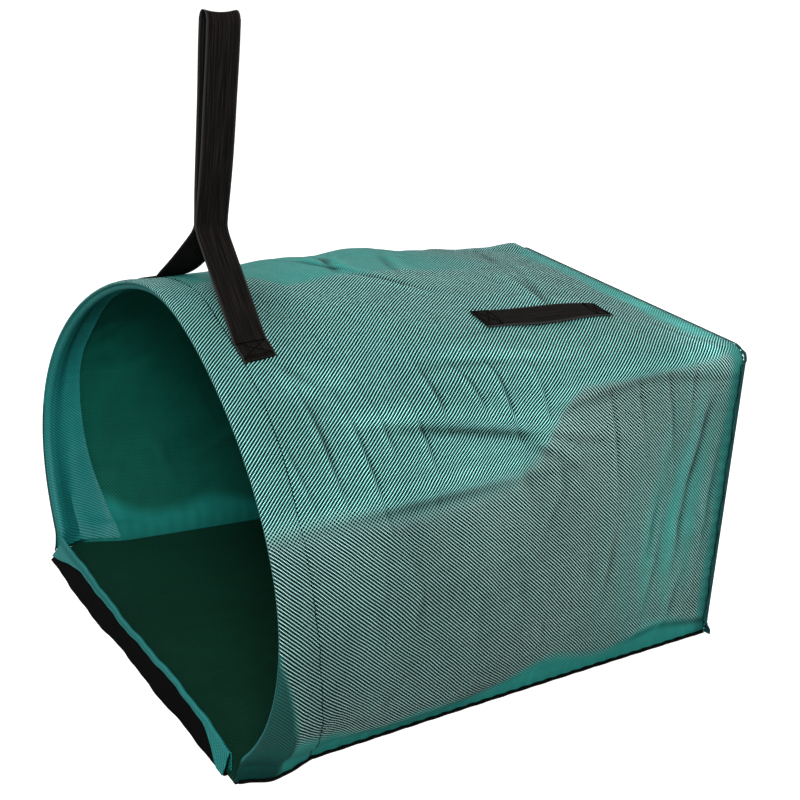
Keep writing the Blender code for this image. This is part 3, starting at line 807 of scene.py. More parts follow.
@dataclass(frozen=True)
class WovenFinish(Finish):
    """Cloth woven from flat tapes, a light one and a dark one crossing.

    Where the ribs lean back, low on the walls, the light tape may show a paler colour as a painted glint,
    and all is darker by a share as painted shade.
    """

    light: Colour = (0.37, 1.0, 0.91)
    # painted glint: the paler light tape where the ribs lean back
    leaning: Colour | None = None
    dark: Colour = (0.0004, 0.008, 0.0075)
    plain: Colour = (0.022, 0.19, 0.165)
    # painted shade where the ribs lean back
    lean_loss: float = 0.0
    across: float = 0.00121
    along: float = 0.00138
    width: float = 0.5
    leaning_width: float = 0.5
    wander: float = 0.004
    relief: float = 0.0002
    mottle: float = 0.55

    def paint(self, graph: Graph, shader: Node, effects: Effects) -> None:
        """Lay tape colours by the weave, with painted shade along tape edges, varied tape by tape.

        Args:
            graph: the material's graph.
            shader: its shader.
            effects: the shared node groups.
        """
        lean = graph.mark(LEAN_NAME)
        weave = graph.group(effects.weave, {
            "Vector": self.pattern(graph), "Wander": self.wander, "Lean": lean, "Across": self.across,
            "Along": self.along, "Width": self.width, "Leaning width": self.leaning_width})
        mottle = self.mottled(graph, effects, self.mottle)
        # painted glint: a paler light tape where the ribs lean back
        pale = graph.mix(lean, self.light, self.leaning or self.light)
        colour = graph.mix(weave["Light"], self.dark, pale)
        colour = graph.mix(graph.mark(PLAIN_NAME), colour, self.plain)
        # painted shade along the tape edges and where the ribs lean back, and the wrap's painted shade and
        # highlights
        shade = graph.product(graph.spread(weave["Tape"], 0.93, 1.05), mottle["Shade"],
                              graph.spread(weave["Edge"], 0.8, 1.0),
                              graph.spread(lean, 1.0, 1.0 - self.lean_loss),
                              graph.math("ADD", graph.mark(PAINTED_LIGHT_NAME), 1.0))
        self.roughen(graph, shader, mottle["Grain"], 0.08, 0.10)
        self.cover(graph, shader, colour, shade, weave["Height"], self.relief)


@dataclass(frozen=True)
class WebbingFinish(Finish):
    """Narrow black webbing."""

    body: Colour = (0.0034, 0.0031, 0.0029)
    line: Colour = (0.014, 0.0115, 0.0100)
    selvage: Colour = (0.026, 0.027, 0.026)
    relief: float = 0.0004

    def paint(self, graph: Graph, shader: Node, effects: Effects) -> None:
        """Lay dark body, paler uneven lines and selvages, and ribbed relief, with painted shade between the
        ribs and painted highlights on them.

        Args:
            graph: the material's graph.
            shader: its shader.
            effects: the shared node groups.
        """
        rib = graph.group(effects.webbing, {"Vector": self.pattern(graph)})
        colour = graph.mix(rib["Line"], self.body, self.line)
        colour = graph.mix(rib["Edge"], colour, self.selvage)
        # painted shade between the ribs and painted highlights on their crests
        lit = graph.product(self.mottled(graph, effects)["Shade"], graph.spread(rib["Height"], 0.3, 1.6))
        self.cover(graph, shader, colour, lit, rib["Height"], self.relief)


@dataclass(frozen=True)
class ThreadFinish(Finish):
    """Sewing thread."""

    body: Colour = (0.02, 0.02, 0.02)
    relief: float = 0.0002

    def paint(self, graph: Graph, shader: Node, effects: Effects) -> None:
        """Lay twisted plies, with painted shade between them.

        Args:
            graph: the material's graph.
            shader: its shader.
            effects: the shared node groups.
        """
        twist = graph.group(effects.thread, {"Vector": self.pattern(graph)})["Height"]
        # painted shade in the grooves between the plies
        deep = tuple(0.45 * part for part in self.body)
        self.cover(graph, shader, graph.mix(twist, deep, self.body), 1.0, twist, self.relief)


@dataclass(frozen=True)
class CoatedFinish(Finish):
    """Fine plain cloth with a coating, which takes a little dust."""

    body: Colour = (0.0013, 0.0016, 0.0013)
    dust: Colour = (0.0036, 0.0040, 0.0034)
    thread: float = 0.0009
    relief: float = 0.00015

    def paint(self, graph: Graph, shader: Node, effects: Effects) -> None:
        """Lay a fine weave under mottling, with dust in patches, painted shade between the threads and
        painted highlights on them.

        Args:
            graph: the material's graph.
            shader: its shader.
            effects: the shared node groups.
        """
        weave = graph.group(effects.weave, {"Vector": self.pattern(graph), "Across": self.thread,
                                            "Along": self.thread, "Wander": self.thread / 8})
        mottle = self.mottled(graph, effects)
        colour = graph.mix(graph.math("MULTIPLY", mottle["Dust"], 0.5), self.body, self.dust)
        # painted shade between the threads and painted highlights on them
        lit = graph.product(mottle["Shade"], graph.spread(weave["Height"], 0.7, 1.2))
        self.roughen(graph, shader, mottle["Dust"], 0.05, 0.15)
        self.cover(graph, shader, colour, lit, weave["Height"], self.relief)


@dataclass(frozen=True)
class MouldedFinish(Finish):
    """Drawn or moulded plastic with faint lengthwise drag marks and scuffs."""

    body: Colour = (0.6, 0.61, 0.58)
    scuff: Colour = (0.4, 0.4, 0.38)
    relief: float = 0.0001

    def paint(self, graph: Graph, shader: Node, effects: Effects) -> None:
        """Lay a plain body with scuffs, and a fine grain in its relief.

        Args:
            graph: the material's graph.
            shader: its shader.
            effects: the shared node groups.
        """
        mottle = self.mottled(graph, effects)
        colour = graph.mix(mottle["Dust"], self.body, self.scuff)
        self.roughen(graph, shader, mottle["Grain"], 0.06, 0.12)
        self.cover(graph, shader, colour, mottle["Shade"], mottle["Grain"], self.relief, 0.6)


@dataclass
class Finishes:
    """Every material of the bag."""

    effects: Effects = field(default_factory=Effects)

    def __post_init__(self) -> None:
        """Make each material once."""
        self.woven = self.cloth("woven_green", 0.5, 0.04, light=(0.41, 1.0, 0.93),
                                leaning=(0.60, 1.0, 0.95), dark=(0.0003, 0.011, 0.010),
                                plain=(0.022, 0.23, 0.20), lean_loss=0.04, width=0.215,
                                leaning_width=0.175)
        # painted shade: the inner faces take darker copies of the woven cloth
        self.inside = self.cloth("woven_green_inside_shaded", 0.55, 0.04, light=(0.005, 0.100, 0.072),
                                 dark=(0.0025, 0.050, 0.035), plain=(0.009, 0.170, 0.143), mottle=0.8)
        self.rear_inside_shaded = self.cloth("rear_green_inside_shaded", 0.6, 0.03, light=(0.003, 0.060, 0.040),
                                      dark=(0.0014, 0.028, 0.019), mottle=0.9)
        self.liner = self.cloth("liner_green", 0.5, 0.15, light=(0.006, 0.050, 0.028),
                                dark=(0.001, 0.015, 0.008), mottle=0.8)
        self.facing = self.cloth("facing_green", 0.45, 0.2, light=(0.013, 0.215, 0.205),
                                 dark=(0.004, 0.092, 0.086), plain=(0.008, 0.140, 0.134), mottle=0.5)
        self.seam = self.cloth("seam_green", 0.55, 0.1, light=(0.005, 0.075, 0.072),
                               dark=(0.001, 0.016, 0.016), across=0.0010, along=0.0010)
        self.base, self.webbing, self.thread, self.seam_thread, self.rod, self.vinyl = (
            finish.make(self.effects) for finish in (
                CoatedFinish("base_black", 0.7, 0.03),
                WebbingFinish("webbing_black", 0.85, 0.03),
                ThreadFinish("thread_black", 0.9, 0.02, body=(0.0006, 0.0006, 0.0006)),
                ThreadFinish("thread_teal", 0.7, 0.1, body=(0.01, 0.07, 0.066)),
                MouldedFinish("rod_white", 0.35),
                MouldedFinish("vinyl_black", 0.45, body=(0.012, 0.012, 0.013), scuff=(0.04, 0.04, 0.04))))

    def cloth(self, name: str, roughness: float, specular: float,
              **values: Colour | float) -> Material:
        """One woven material."""
        return WovenFinish(name, roughness, specular, **values).make(self.effects)


# The bag's form


@dataclass(frozen=True)
class Crease:
    """A valley pressed into the wrap, with a soft ridge along one side.

    Its ends are given as (distance from the crown over the cloth, depth).
    """

    side: Side
    start: tuple[float, float]
    end: tuple[float, float]
    deep: float
    width: float
    ridge: float = 0.55

    def relief(self, arc: Array, depth: Array, share: Array) -> Array:
        """How far the crease moves the cloth outwards.

        A bell across the line between the ends goes inwards, a wider one beside it outwards, and
        both fade past the ends and towards them.

        Args:
            arc: distances from the crown.
            depth: depths behind the mouth.
            share: shares, whose sign says which side a place is on.

        Returns:
            Distances along the cloth's outward direction.
        """
        start, end = np.array(self.start), np.array(self.end)
        run = end - start
        length = float(np.linalg.norm(run))
        run = run / length
        a, b = arc - start[0], depth - start[1]
        along = a * run[0] + b * run[1]
        off = a * run[1] - b * run[0]
        beyond = np.maximum(np.maximum(-along, along - length), 0.0)
        reach, least = 0.35 * length, 0.35
        fade = bump(beyond, reach) * (least + (1 - least) * hump(np.clip(along / length, 0, 1)))
        valley = -bump(off, self.width)
        beside = self.ridge * bump(off - 2.0 * self.width, 1.6 * self.width)
        here = np.where(np.sign(share) == self.side.value, 1.0, 0.0)
        return self.deep * fade * (valley + beside) * here


@dataclass(frozen=True)
class Pucker:
    """Small waves that a row of stitches draws into the cloth. The drift is how far a wander turns them."""

    height: float
    length: float
    drift: float
    reach: float

    def relief(self, place: Array, wander: Array, away: Array) -> Array:
        """A sine of the place along the seam, turned by a wander, that dies away from the stitches."""
        drifted = wave(place, self.length, self.drift * wander)
        return self.height * np.exp(-np.abs(away) / self.reach) * drifted


@dataclass
class BagForm:
    """The wrap's outer face, from the outlines of the mouth and the rear, with the cloth's relief."""

    # The outlines
    depth: float = 0.800
    mouth_foot_half: float = 0.316
    mouth_spring: tuple[float, float] = (0.324, 0.031)
    mouth_belly: tuple[float, float] = (0.555, 0.287)
    mouth_crown_out: float = 0.172
    mouth_height: float = 0.525
    mouth_lean: float = 0.0232
    rear_foot_half: float = 0.285
    rear_top_half: float = 0.270
    rear_height: float = 0.4545
    rear_corner: float = 0.025
    rear_lean: float = 0.0217

    # The way from one to the other
    early_boxing: float = 0.35
    top_swell: float = 0.033
    side_swell: float = 0.012
    swell_below_corner: float = 0.12
    swell_rise: float = 0.31
    foot_fullness: float = 0.024
    foot_full_at: float = 0.045
    foot_full_fade: float = 0.075
    foot_full_climb: float = 0.30
    foot_full_low: float = 0.6

    # The hem
    hem_width: float = 0.048
    hem_spread: float = 0.058
    hem_spread_climb: float = 0.45

    # The slopes that the outward direction comes from
    normal_share: float = 0.004
    normal_reach: float = 0.004

    # The lower walls' bulge
    belly: float = 0.011
    belly_height: float = 0.045
    belly_start: Step = (0.045, 0.05)
    belly_back: Step = (0.22, 0.25)
    belly_loss: float = 0.6
    belly_end: Step = (0.0, 0.12)
    belly_top: float = 0.17

    # Painted shade and painted highlights: the creases' gain and limits, and patches as
    # (arc, depth, width over the arc, width over the depth, amount)
    crease_shade_gain: float = 190.0
    crease_shade_range: tuple[float, float] = (-0.72, 0.14)
    painted_light_limits: tuple[float, float] = (-0.85, 0.6)
    painted_light_patches: tuple[Bell, ...] = (
        (0.245, 0.745, 0.060, 0.045, 0.45), (0.170, 0.776, 0.050, 0.022, 0.60),
        (0.235, 0.46, 0.016, 0.14, 0.22), (0.222, 0.130, 0.018, 0.050, 0.25),
        (0.292, 0.180, 0.012, 0.060, 0.28), (0.345, 0.300, 0.030, 0.10, 0.16),
        (0.050, 0.110, 0.090, 0.060, -0.35), (0.150, 0.020, 0.090, 0.030, -0.15),
        (0.300, 0.070, 0.050, 0.020, 0.12), (0.60, 0.30, 0.10, 0.16, -0.12),
        (0.62, 0.62, 0.12, 0.10, -0.05), (0.46, 0.21, 0.09, 0.07, -0.22),
        (-0.15, 0.62, 0.10, 0.16, -0.22), (0.46, 0.45, 0.07, 0.06, -0.10),
        (0.283, 0.077, 0.07, 0.05, -0.30), (0.29, 0.27, 0.06, 0.10, -0.12),
        (0.585, 0.075, 0.09, 0.05, -0.20), (0.0, 0.70, 0.12, 0.07, -0.16),
        (0.075, 0.778, 0.05, 0.02, 0.35), (0.60, 0.70, 0.05, 0.10, 0.14),
        (0.50, 0.66, 0.10, 0.08, 0.16), (0.33, 0.46, 0.035, 0.05, 0.14))

    # Relief: slack hollows and humps, fades, puckers and ridges
    slack: tuple[Bell, ...] = (
        (-0.205, 0.415, 0.085, 0.060, 0.0105), (-0.150, 0.165, 0.080, 0.060, -0.0090),
        (-0.240, 0.772, 0.032, 0.034, 0.0100), (0.060, 0.480, 0.120, 0.100, -0.0030),
        (0.120, 0.720, 0.090, 0.050, -0.0030))
    ear: float = 0.0150
    ear_place: tuple[float, float] = (0.008, 0.014)
    wander: tuple[float, float] = (0.6, 0.31)
    mouth_fade: Step = (0.012, 0.05)
    rear_fade: Step = (0.0, 0.03)
    foot_fade: Step = (0.0, 0.05)
    rear_pull: float = 0.005
    pucker_fade: float = 0.02
    pleat_foot: float = 0.006
    pleat_mouth: float = 0.06
    ridge_climb: float = 0.35
    ridge_foot: float = 0.012
    rear_pucker: Pucker = Pucker(0.0016, 0.019, 3, 0.026)
    hem_pucker: Pucker = Pucker(0.00055, 0.016, 5, 0.011)
    foot_pucker: Pucker = Pucker(0.0011, 0.023, 4, 0.018)
    hem_groove: tuple[float, float] = (0.0013, 0.0032)
    rod_ridge: tuple[float, float, float] = (0.0007, 0.0098, 0.0050)
    foot_ridge: tuple[float, float, float] = (0.0035, 0.042, 0.0065)

    # Bands along the seams and the hem's turned corner: painted shade, a painted sheen and plain weave
    painted_sheen_depth: Step = (0.745, 0.030)
    painted_sheen_reach: Step = (0.16, 0.08)
    painted_sheen_end: float = 0.08
    foot_shade: float = 0.035
    edge_shade_depth: Step = (0.7955, 0.002)
    hem_depth: Step = (0.766, 0.022)
    hem_reach: Step = (0.22, 0.05)
    corner_feet: tuple[float, ...] = (0.0, 0.05, 0.10, 0.15, 0.19, 0.23)
    corner_widths: tuple[float, ...] = (0.052, 0.050, 0.045, 0.031, 0.018, 0.002)
    plain_depths: tuple[float, ...] = (0.0, 0.144, 0.174, 0.238, 0.318, 0.40, 0.60)
    plain_arcs: tuple[float, ...] = (0.0, 0.0, 0.03, 0.011, 0.0, -0.03, -0.06)

    # Small creases, and where the ribs turn
    fine_creases_a_side: int = 34
    top_half: float = 0.27
    lean_depths: tuple[float, ...] = (0.0, 0.10, 0.22, 0.28, 0.38, 0.42, 0.46, 0.50, 0.62, 0.80)
    lean_arcs: tuple[float, ...] = (0.400, 0.398, 0.412, 0.405, 0.398, 0.375, 0.325, 0.293, 0.290, 0.262)
    seed: int = 11

    def __post_init__(self) -> None:
        """Work out the outlines, the distances over the cloth and the waves."""
        self.mouth_line = self.measured(self.mouth_outline())
        self.rear_line = self.measured(self.rear_outline())
        self.corner_start = self.rear_line[0][1]
        shares = np.linspace(0, 1, 401)
        self.table_depths = np.linspace(0, self.depth, 41)
        net = self.point(shares[:, None], self.table_depths[None, :])
        steps = np.linalg.norm(np.diff(net, axis=0), axis=-1)
        self.arcs = np.concatenate([np.zeros((1, steps.shape[1])), np.cumsum(steps, axis=0)])
        self.inverse = np.stack([np.interp(np.linspace(0, 1, 401) * column[-1], column, shares)
                                 for column in self.arcs.T], 1)
        draw = np.random.default_rng(self.seed)
        self.broad_waves = self.waves(draw, 14, 0.14, 0.42, 0.0011)
        self.small_waves = self.waves(draw, 26, 0.035, 0.11, 0.00022)
        self.creases = self.named_creases() + self.fine_creases(draw)

    @staticmethod
    def waves(draw: np.random.Generator, count: int, short: float, long: float, height: float) -> Array:
        """Sine waves that head every way.

        Args:
            draw: the source of random numbers.
            count: how many.
            short: the shortest wave.
            long: the longest.
            height: the height of the longest, from which the others' follow with their length.

        Returns:
            Rows of (height, count over the arc, count over the depth, turn).
        """
        length = draw.uniform(short, long, count)
        heading = draw.uniform(0, math.pi, count)
        turn = draw.uniform(0, math.tau, count)
        size = height * length / long * draw.uniform(0.7, 1.3, count)
        return np.stack([size, np.cos(heading) / length, np.sin(heading) / length, turn], -1)

    @staticmethod
    def measured(points: Array) -> tuple[Array, Array]:
        """A line's points with their distances from its start as shares of its length."""
        walked = travelled(points)
        return walked / walked[-1], points

    def mouth_outline(self) -> Array:
        """The mouth's right half: a foot, then a cubic curve to the crown.

        Returns:
            Points as (across, up).
        """
        t = np.linspace(0, 1, 241)[:, None]
        r = 1 - t
        ends = [np.array(pair) for pair in (self.mouth_spring, self.mouth_belly, (self.mouth_crown_out,
                                            self.mouth_height), (0, self.mouth_height))]
        curve = ends[0] * r**3 + ends[1] * 3 * r * r * t + ends[2] * 3 * r * t * t + ends[3] * t**3
        return np.concatenate([[[self.mouth_foot_half, FOOT]], curve])

    def rear_side(self, steps: int) -> Array:
        """The rounded corner of the rear outline: a quarter circle.

        Args:
            steps: how many steps it is made in.

        Returns:
            Points as (across, up).
        """
        angle = np.linspace(0, math.pi / 2, steps + 1)
        centre = np.array([self.rear_top_half - self.rear_corner, self.rear_height - self.rear_corner])
        return centre + self.rear_corner * np.stack([np.cos(angle), np.sin(angle)], -1)

    def rear_outline(self) -> Array:
        """The rear's right half as (across, up): a foot, the corner and the crown."""
        return np.concatenate([[[self.rear_foot_half, FOOT]], self.rear_side(12), [[0, self.rear_height]]])

    @staticmethod
    def at(line: tuple[Array, Array], share: Array) -> tuple[Array, Array]:
        """The (across, up) of a measured line at shares of its length."""
        return np.interp(share, line[0], line[1][:, 0]), np.interp(share, line[0], line[1][:, 1])

    def point(self, share: Array, depth: Array) -> Array:
        """Points of the smooth outer face.

        The mouth's and the rear's outlines are mixed by the depth, the sides and the top swell
        between them, the feet fill out behind the mouth, and both ends lean inwards.

        Args:
            share: shares over the wrap.
            depth: depths behind the mouth.

        Returns:
            Points as (across, depth, up).
        """
        share, depth = np.broadcast_arrays(np.asarray(share, float), np.asarray(depth, float))
        climb = 1 - np.abs(share)
        back = np.clip(depth / self.depth, 0, 1)
        boxing = back + self.early_boxing * back * (1 - back)
        mouth, rear = self.at(self.mouth_line, climb), self.at(self.rear_line, climb)
        across, up = (first + (second - first) * boxing for first, second in zip(mouth, rear))
        swell = 4 * back * (1 - back)
        across = across + self.side_swell * swell * hump(np.minimum(climb / self.corner_start, 1))
        across = across + self.fullness(climb, depth)
        rise = (climb - self.corner_start + self.swell_below_corner) / self.swell_rise
        up = up + self.top_swell * swell * ease(rise)
        lean = self.mouth_lean * (1 - back) - self.rear_lean * back
        return np.stack([np.copysign(across, share), depth + lean * up, up], -1)

    def fullness(self, climb: Array, depth: Array) -> Array:
        """How far the lower wall stands out behind the drawn-in feet: three eased steps multiplied.

        Args:
            climb: shares up the wall, 0 at the foot.
            depth: depths behind the mouth.

        Returns:
            Distances outwards.
        """
        fall = (self.foot_full_at, self.foot_full_fade)
        backwards = ease(depth / self.foot_full_at) * (1 - eased(depth, fall))
        upwards = self.foot_full_low + (1 - self.foot_full_low) * ease(3 * climb / self.foot_full_climb)
        return self.foot_fullness * backwards * upwards * (1 - ease(climb / self.foot_full_climb))

    def normal(self, share: Array, depth: Array) -> Array:
        """The smooth face's outward direction: its two slopes crossed.

        Args:
            share: shares over the wrap.
            depth: depths behind the mouth.

        Returns:
            Directions of length 1.
        """
        a, b = self.normal_share, self.normal_reach
        right = self.point(np.minimum(share + a, 1.0), depth) - self.point(np.maximum(share - a, -1.0), depth)
        back = self.point(share, depth + b) - self.point(share, depth - b)
        return unit(np.cross(right, back))

    def arc(self, share: Array, depth: Array) -> Array:
        """Distances from the crown over the cloth."""
        return bilinear(self.arcs, np.abs(share), depth / self.depth)

    def total(self, depth: Array) -> Array:
        """Distances from the crown to the foot."""
        return np.interp(depth, self.table_depths, self.arcs[-1])

    def share_over(self, arc: Array, depth: Array) -> Array:
        """Shares that lie given distances from the crown."""
        return bilinear(self.inverse, arc / self.total(depth), depth / self.depth)

    def hem_line(self, share: Array) -> Array:
        """The hem's depth: even over the arch, and wider towards each foot by an eased power."""
        low = np.clip(1 - (1 - np.abs(share)) / self.hem_spread_climb, 0, 1)
        return self.hem_width + self.hem_spread * low**1.6

    def named_creases(self) -> list[Crease]:
        """The creases and folds that the bag shows on its right side and on top.

        Returns:
            The drapes below the shoulder, the bands along it, those at the rear and those on top.
        """
        right, left = Side.RIGHT, Side.LEFT
        drapes = ((0.100, 0.243, 0.361, 0.012, 0.0030), (0.148, 0.280, 0.392, 0.018, 0.0032),
                  (0.184, 0.272, 0.332, 0.012, 0.0022), (0.234, 0.279, 0.364, 0.020, 0.0026),
                  (0.266, 0.235, 0.306, 0.014, 0.0030), (0.318, 0.247, 0.304, 0.024, 0.0026),
                  (0.366, 0.245, 0.328, 0.022, 0.0032), (0.055, 0.296, 0.372, 0.018, 0.0018),
                  (0.552, 0.300, 0.425, 0.008, 0.0026), (0.660, 0.290, 0.402, 0.010, 0.0028),
                  (0.430, 0.262, 0.345, 0.016, 0.0020), (0.604, 0.285, 0.372, 0.006, 0.0018),
                  (0.710, 0.262, 0.350, -0.008, 0.0022))
        made = [Crease(right, (top, depth), (low, depth + run), deep, 0.0034)
                for depth, top, low, run, deep in drapes]
        bands = (((0.352, 0.458), (0.306, 0.205), 0.0046), ((0.398, 0.385), (0.403, 0.110), 0.0030),
                 ((0.292, 0.625), (0.318, 0.465), 0.0022), ((0.384, 0.462), (0.352, 0.402), 0.0026),
                 ((0.246, 0.420), (0.232, 0.290), 0.0022), ((0.300, 0.780), (0.292, 0.625), 0.0020))
        made += [Crease(right, start, end, deep, 0.0070, 0.8) for start, end, deep in bands]
        rear = (((0.329, 0.745), (0.391, 0.728), 0.0034), ((0.391, 0.728), (0.461, 0.708), 0.0040),
                ((0.461, 0.708), (0.560, 0.700), 0.0034), ((0.464, 0.640), (0.545, 0.636), 0.0026),
                ((0.500, 0.560), (0.585, 0.556), 0.0020), ((0.600, 0.722), (0.668, 0.706), 0.0024),
                ((0.690, 0.795), (0.680, 0.692), 0.0026), ((0.680, 0.692), (0.691, 0.630), 0.0022),
                ((0.420, 0.775), (0.560, 0.762), 0.0026), ((0.520, 0.660), (0.640, 0.650), 0.0018))
        made += [Crease(right, start, end, deep, 0.0062) for start, end, deep in rear]
        top = ((left, (0.212, 0.670), (0.059, 0.600), 0.0030),
               (right, (0.0, 0.575), (0.108, 0.558), 0.0030),
               (left, (0.150, 0.662), (0.0, 0.596), 0.0024),
               (right, (0.004, 0.592), (0.104, 0.562), 0.0020),
               (left, (0.115, 0.308), (0.015, 0.278), 0.0048),
               (right, (0.003, 0.300), (0.050, 0.372), 0.0036),
               (left, (0.090, 0.250), (0.005, 0.300), 0.0034),
               (right, (0.169, 0.704), (0.255, 0.764), 0.0024),
               (right, (0.190, 0.090), (0.235, 0.130), 0.0018),
               (left, (0.120, 0.420), (0.020, 0.380), 0.0030))
        return made + [Crease(side, start, end, deep, 0.0070) for side, start, end, deep in top]

    def fine_creases(self, draw: np.random.Generator) -> list[Crease]:
        """Small creases drawn at random over both sides, steep on the walls and level on top.

        Args:
            draw: the source of random numbers.

        Returns:
            The creases.
        """
        made, count = [], self.fine_creases_a_side
        for side in (Side.RIGHT, Side.LEFT):
            arcs = draw.uniform(0.03, 0.66, count)
            depths = draw.uniform(0.13, 0.74, count)
            reach = draw.uniform(0.02, 0.07, count)
            swing = draw.normal(0.0, 0.5, count)
            deep = draw.uniform(0.0004, 0.0013, count)
            width = draw.uniform(0.0040, 0.0075, count)
            for arc, depth, run, turn, low, wide in zip(arcs, depths, reach, swing, deep, width):
                heading = turn if arc > self.top_half else math.pi / 2 + turn
                end = (arc + run * math.cos(heading), depth + run * math.sin(heading))
                made.append(Crease(side, (arc, depth), end, low, wide))
        return made

    def creased(self, arc: Array, depth: Array, share: Array) -> Array:
        """What all the creases together move the cloth outwards: their reliefs added up."""
        return sum(crease.relief(arc, depth, share) for crease in self.creases)

    def waved(self, across: Array, along: Array, shift: float = 0.0) -> Array:
        """All the waves at a place, each a sine of its counts times the place, added up."""
        return sum(size * np.sin(math.tau * (over * across + back * along) + turn + shift)
                   for size, over, back, turn in (*self.broad_waves, *self.small_waves))

    def painted_light_and_shade(self, arc: Array, depth: Array) -> Array:
        """Painted shade and painted highlights: how much darker the cloth is in its creases, and how much
        lighter on their ridges.

        The creases' relief times a factor, with bells of painted shade and painted highlight, and terms
        of painted shade for the turned corner behind the mouth's foot, the rear's band and edge and the
        foot, and of a painted sheen for the rear's strip.

        Args:
            arc: distances from the crown, below 0 on the left.
            depth: depths behind the mouth.

        Returns:
            Shares to add to a shade of 1.
        """
        over = np.abs(arc)
        # painted shade in each crease's valley and a painted highlight along its ridge
        tone = np.clip(self.crease_shade_gain * self.creased(over, depth, arc), *self.crease_shade_range)
        # bells of painted shade and painted highlight
        tone = tone + bells(self.painted_light_patches, arc, depth)
        foot = self.total(np.clip(depth, 0, self.depth)) - over
        strip = eased(depth, self.painted_sheen_depth) * (1 - eased(over, self.painted_sheen_reach)) * (arc < self.painted_sheen_end)
        # painted shade in the turned corner, on the rear's band, at the rear edge and near the foot; the
        # strip's negative loss is a painted sheen
        for loss, mask in ((0.66, self.turned_corner(foot, depth)), (0.34, self.rear_hem(over, depth)),
                           (-0.22, strip), (0.45, eased(depth, self.edge_shade_depth)),
                           (0.30, np.exp(-foot / self.foot_shade))):
            tone = tone - loss * mask
        return np.clip(tone, *self.painted_light_limits)

    def rear_hem(self, over: Array, depth: Array) -> Array:
        """The folded band before the rear seam on the walls: two eased steps multiplied."""
        return eased(depth, self.hem_depth) * eased(over, self.hem_reach)

    def turned_corner(self, foot: Array, depth: Array) -> Array:
        """Where the hem turns in towards the mouth: a strip that widens towards the foot.

        Args:
            foot: distances from the foot over the cloth.
            depth: depths behind the mouth.

        Returns:
            Values from 0 to 1.
        """
        soft, highest = 0.008, 0.24
        wide = np.interp(foot, self.corner_feet, self.corner_widths)
        return (1 - ease((depth - wide) / soft + 0.5)) * (foot < highest)

    def relief(self, share: Array, depth: Array) -> Array:
        """How far the cloth stands off the smooth face.

        Waves, creases and slack bells are added up and fade out at the mouth, the rear and the
        floor. Bells add the hem's pressed stitch line, the rod's ridge, the ridge behind the feet
        and the left foot's ear, eased steps the lower walls' bulge, and the seams small puckers
        that die away from them.

        Args:
            share: shares over the wrap.
            depth: depths behind the mouth.

        Returns:
            Distances along the smooth face's outward direction.
        """
        share, depth = np.broadcast_arrays(np.asarray(share, float), np.asarray(depth, float))
        arc, climb = self.arc(share, depth), 1 - np.abs(share)
        foot, rear, off = self.total(depth) - arc, self.depth - depth, depth - self.hem_line(share)
        signed = np.copysign(arc, share)
        wander = self.wander[0] * wave(signed, self.wander[1])
        behind = eased(rear, self.rear_fade)
        total = self.waved(signed, depth) + self.creased(arc, depth, share) + bells(self.slack, signed, depth)
        total = total * eased(depth, self.mouth_fade) * behind * eased(foot, self.foot_fade)
        pull = (1 - np.exp(-rear / self.rear_pull)) * ease(foot / self.pucker_fade)
        total = total + pull * self.rear_pucker.relief(signed, wander, rear)
        total = total + ease(depth / self.pucker_fade) * self.hem_pucker.relief(signed, wander, off)
        groove, groove_width = self.hem_groove
        total = total - groove * bump(off, groove_width)
        low = (1 - ease(climb / self.ridge_climb)) * ease(foot / self.ridge_foot)
        for (ridge, ridge_at, ridge_width), share_of_it in ((self.rod_ridge, 1.0), (self.foot_ridge, low)):
            total = total + ridge * bump(depth - ridge_at, ridge_width) * share_of_it
        ear_at, ear_reach = self.ear_place
        total = total + self.ear * (share < 0) * bump(depth - ear_at, ear_reach) * np.exp(-foot / ear_reach)
        bulge = ease(foot / self.belly_height) * (1 - eased(foot, (self.belly_height, self.belly_top)))
        reach = eased(depth, self.belly_start) * (1 - self.belly_loss * eased(depth, self.belly_back))
        total = total + self.belly * bulge * reach * eased(rear, self.belly_end)
        pleated = ease(foot / self.pleat_foot) * ease(depth / self.pleat_mouth) * behind
        return total + pleated * self.foot_pucker.relief(depth, wander, foot)

    def closed_weave(self, arc: Array, depth: Array) -> Array:
        """Where the tapes lie so close that the cloth looks plain.

        The foot's band, the crown's patch, the rear's streaks, band and strip, and the turned
        corner, each times its own amount. The greatest counts.

        Args:
            arc: distances from the crown, below 0 on the left.
            depth: depths behind the mouth.

        Returns:
            Values from 0 to 1.
        """
        over = np.abs(arc)
        foot = self.total(np.clip(depth, 0, self.depth)) - over
        plain = ((1.0, self.plain_foot(foot, depth)), (0.8, self.plain_crown(arc, depth)),
                 (1.0, self.plain_streaks(over, depth)), (0.8, self.rear_hem(over, depth)),
                 (0.65, self.plain_strip(over, depth)), (0.75, self.turned_corner(foot, depth)))
        return np.clip(np.max([amount * mask for amount, mask in plain], axis=0), 0, 1)

    @staticmethod
    def plain_foot(foot: Array, depth: Array) -> Array:
        """A band along the foot: an eased step past a waved edge that rises towards the mouth.

        Args:
            foot: distances from the foot over the cloth.
            depth: depths behind the mouth.

        Returns:
            Values from 0 to 1.
        """
        height, swing, length, soft = 0.040, 0.012, 0.21, 0.03
        rise, rise_ends = 0.22, 0.22
        edge = height + swing * wave(depth, length) + rise * np.maximum(rise_ends - depth, 0)
        return 1 - ease((foot - edge) / soft + 0.5)

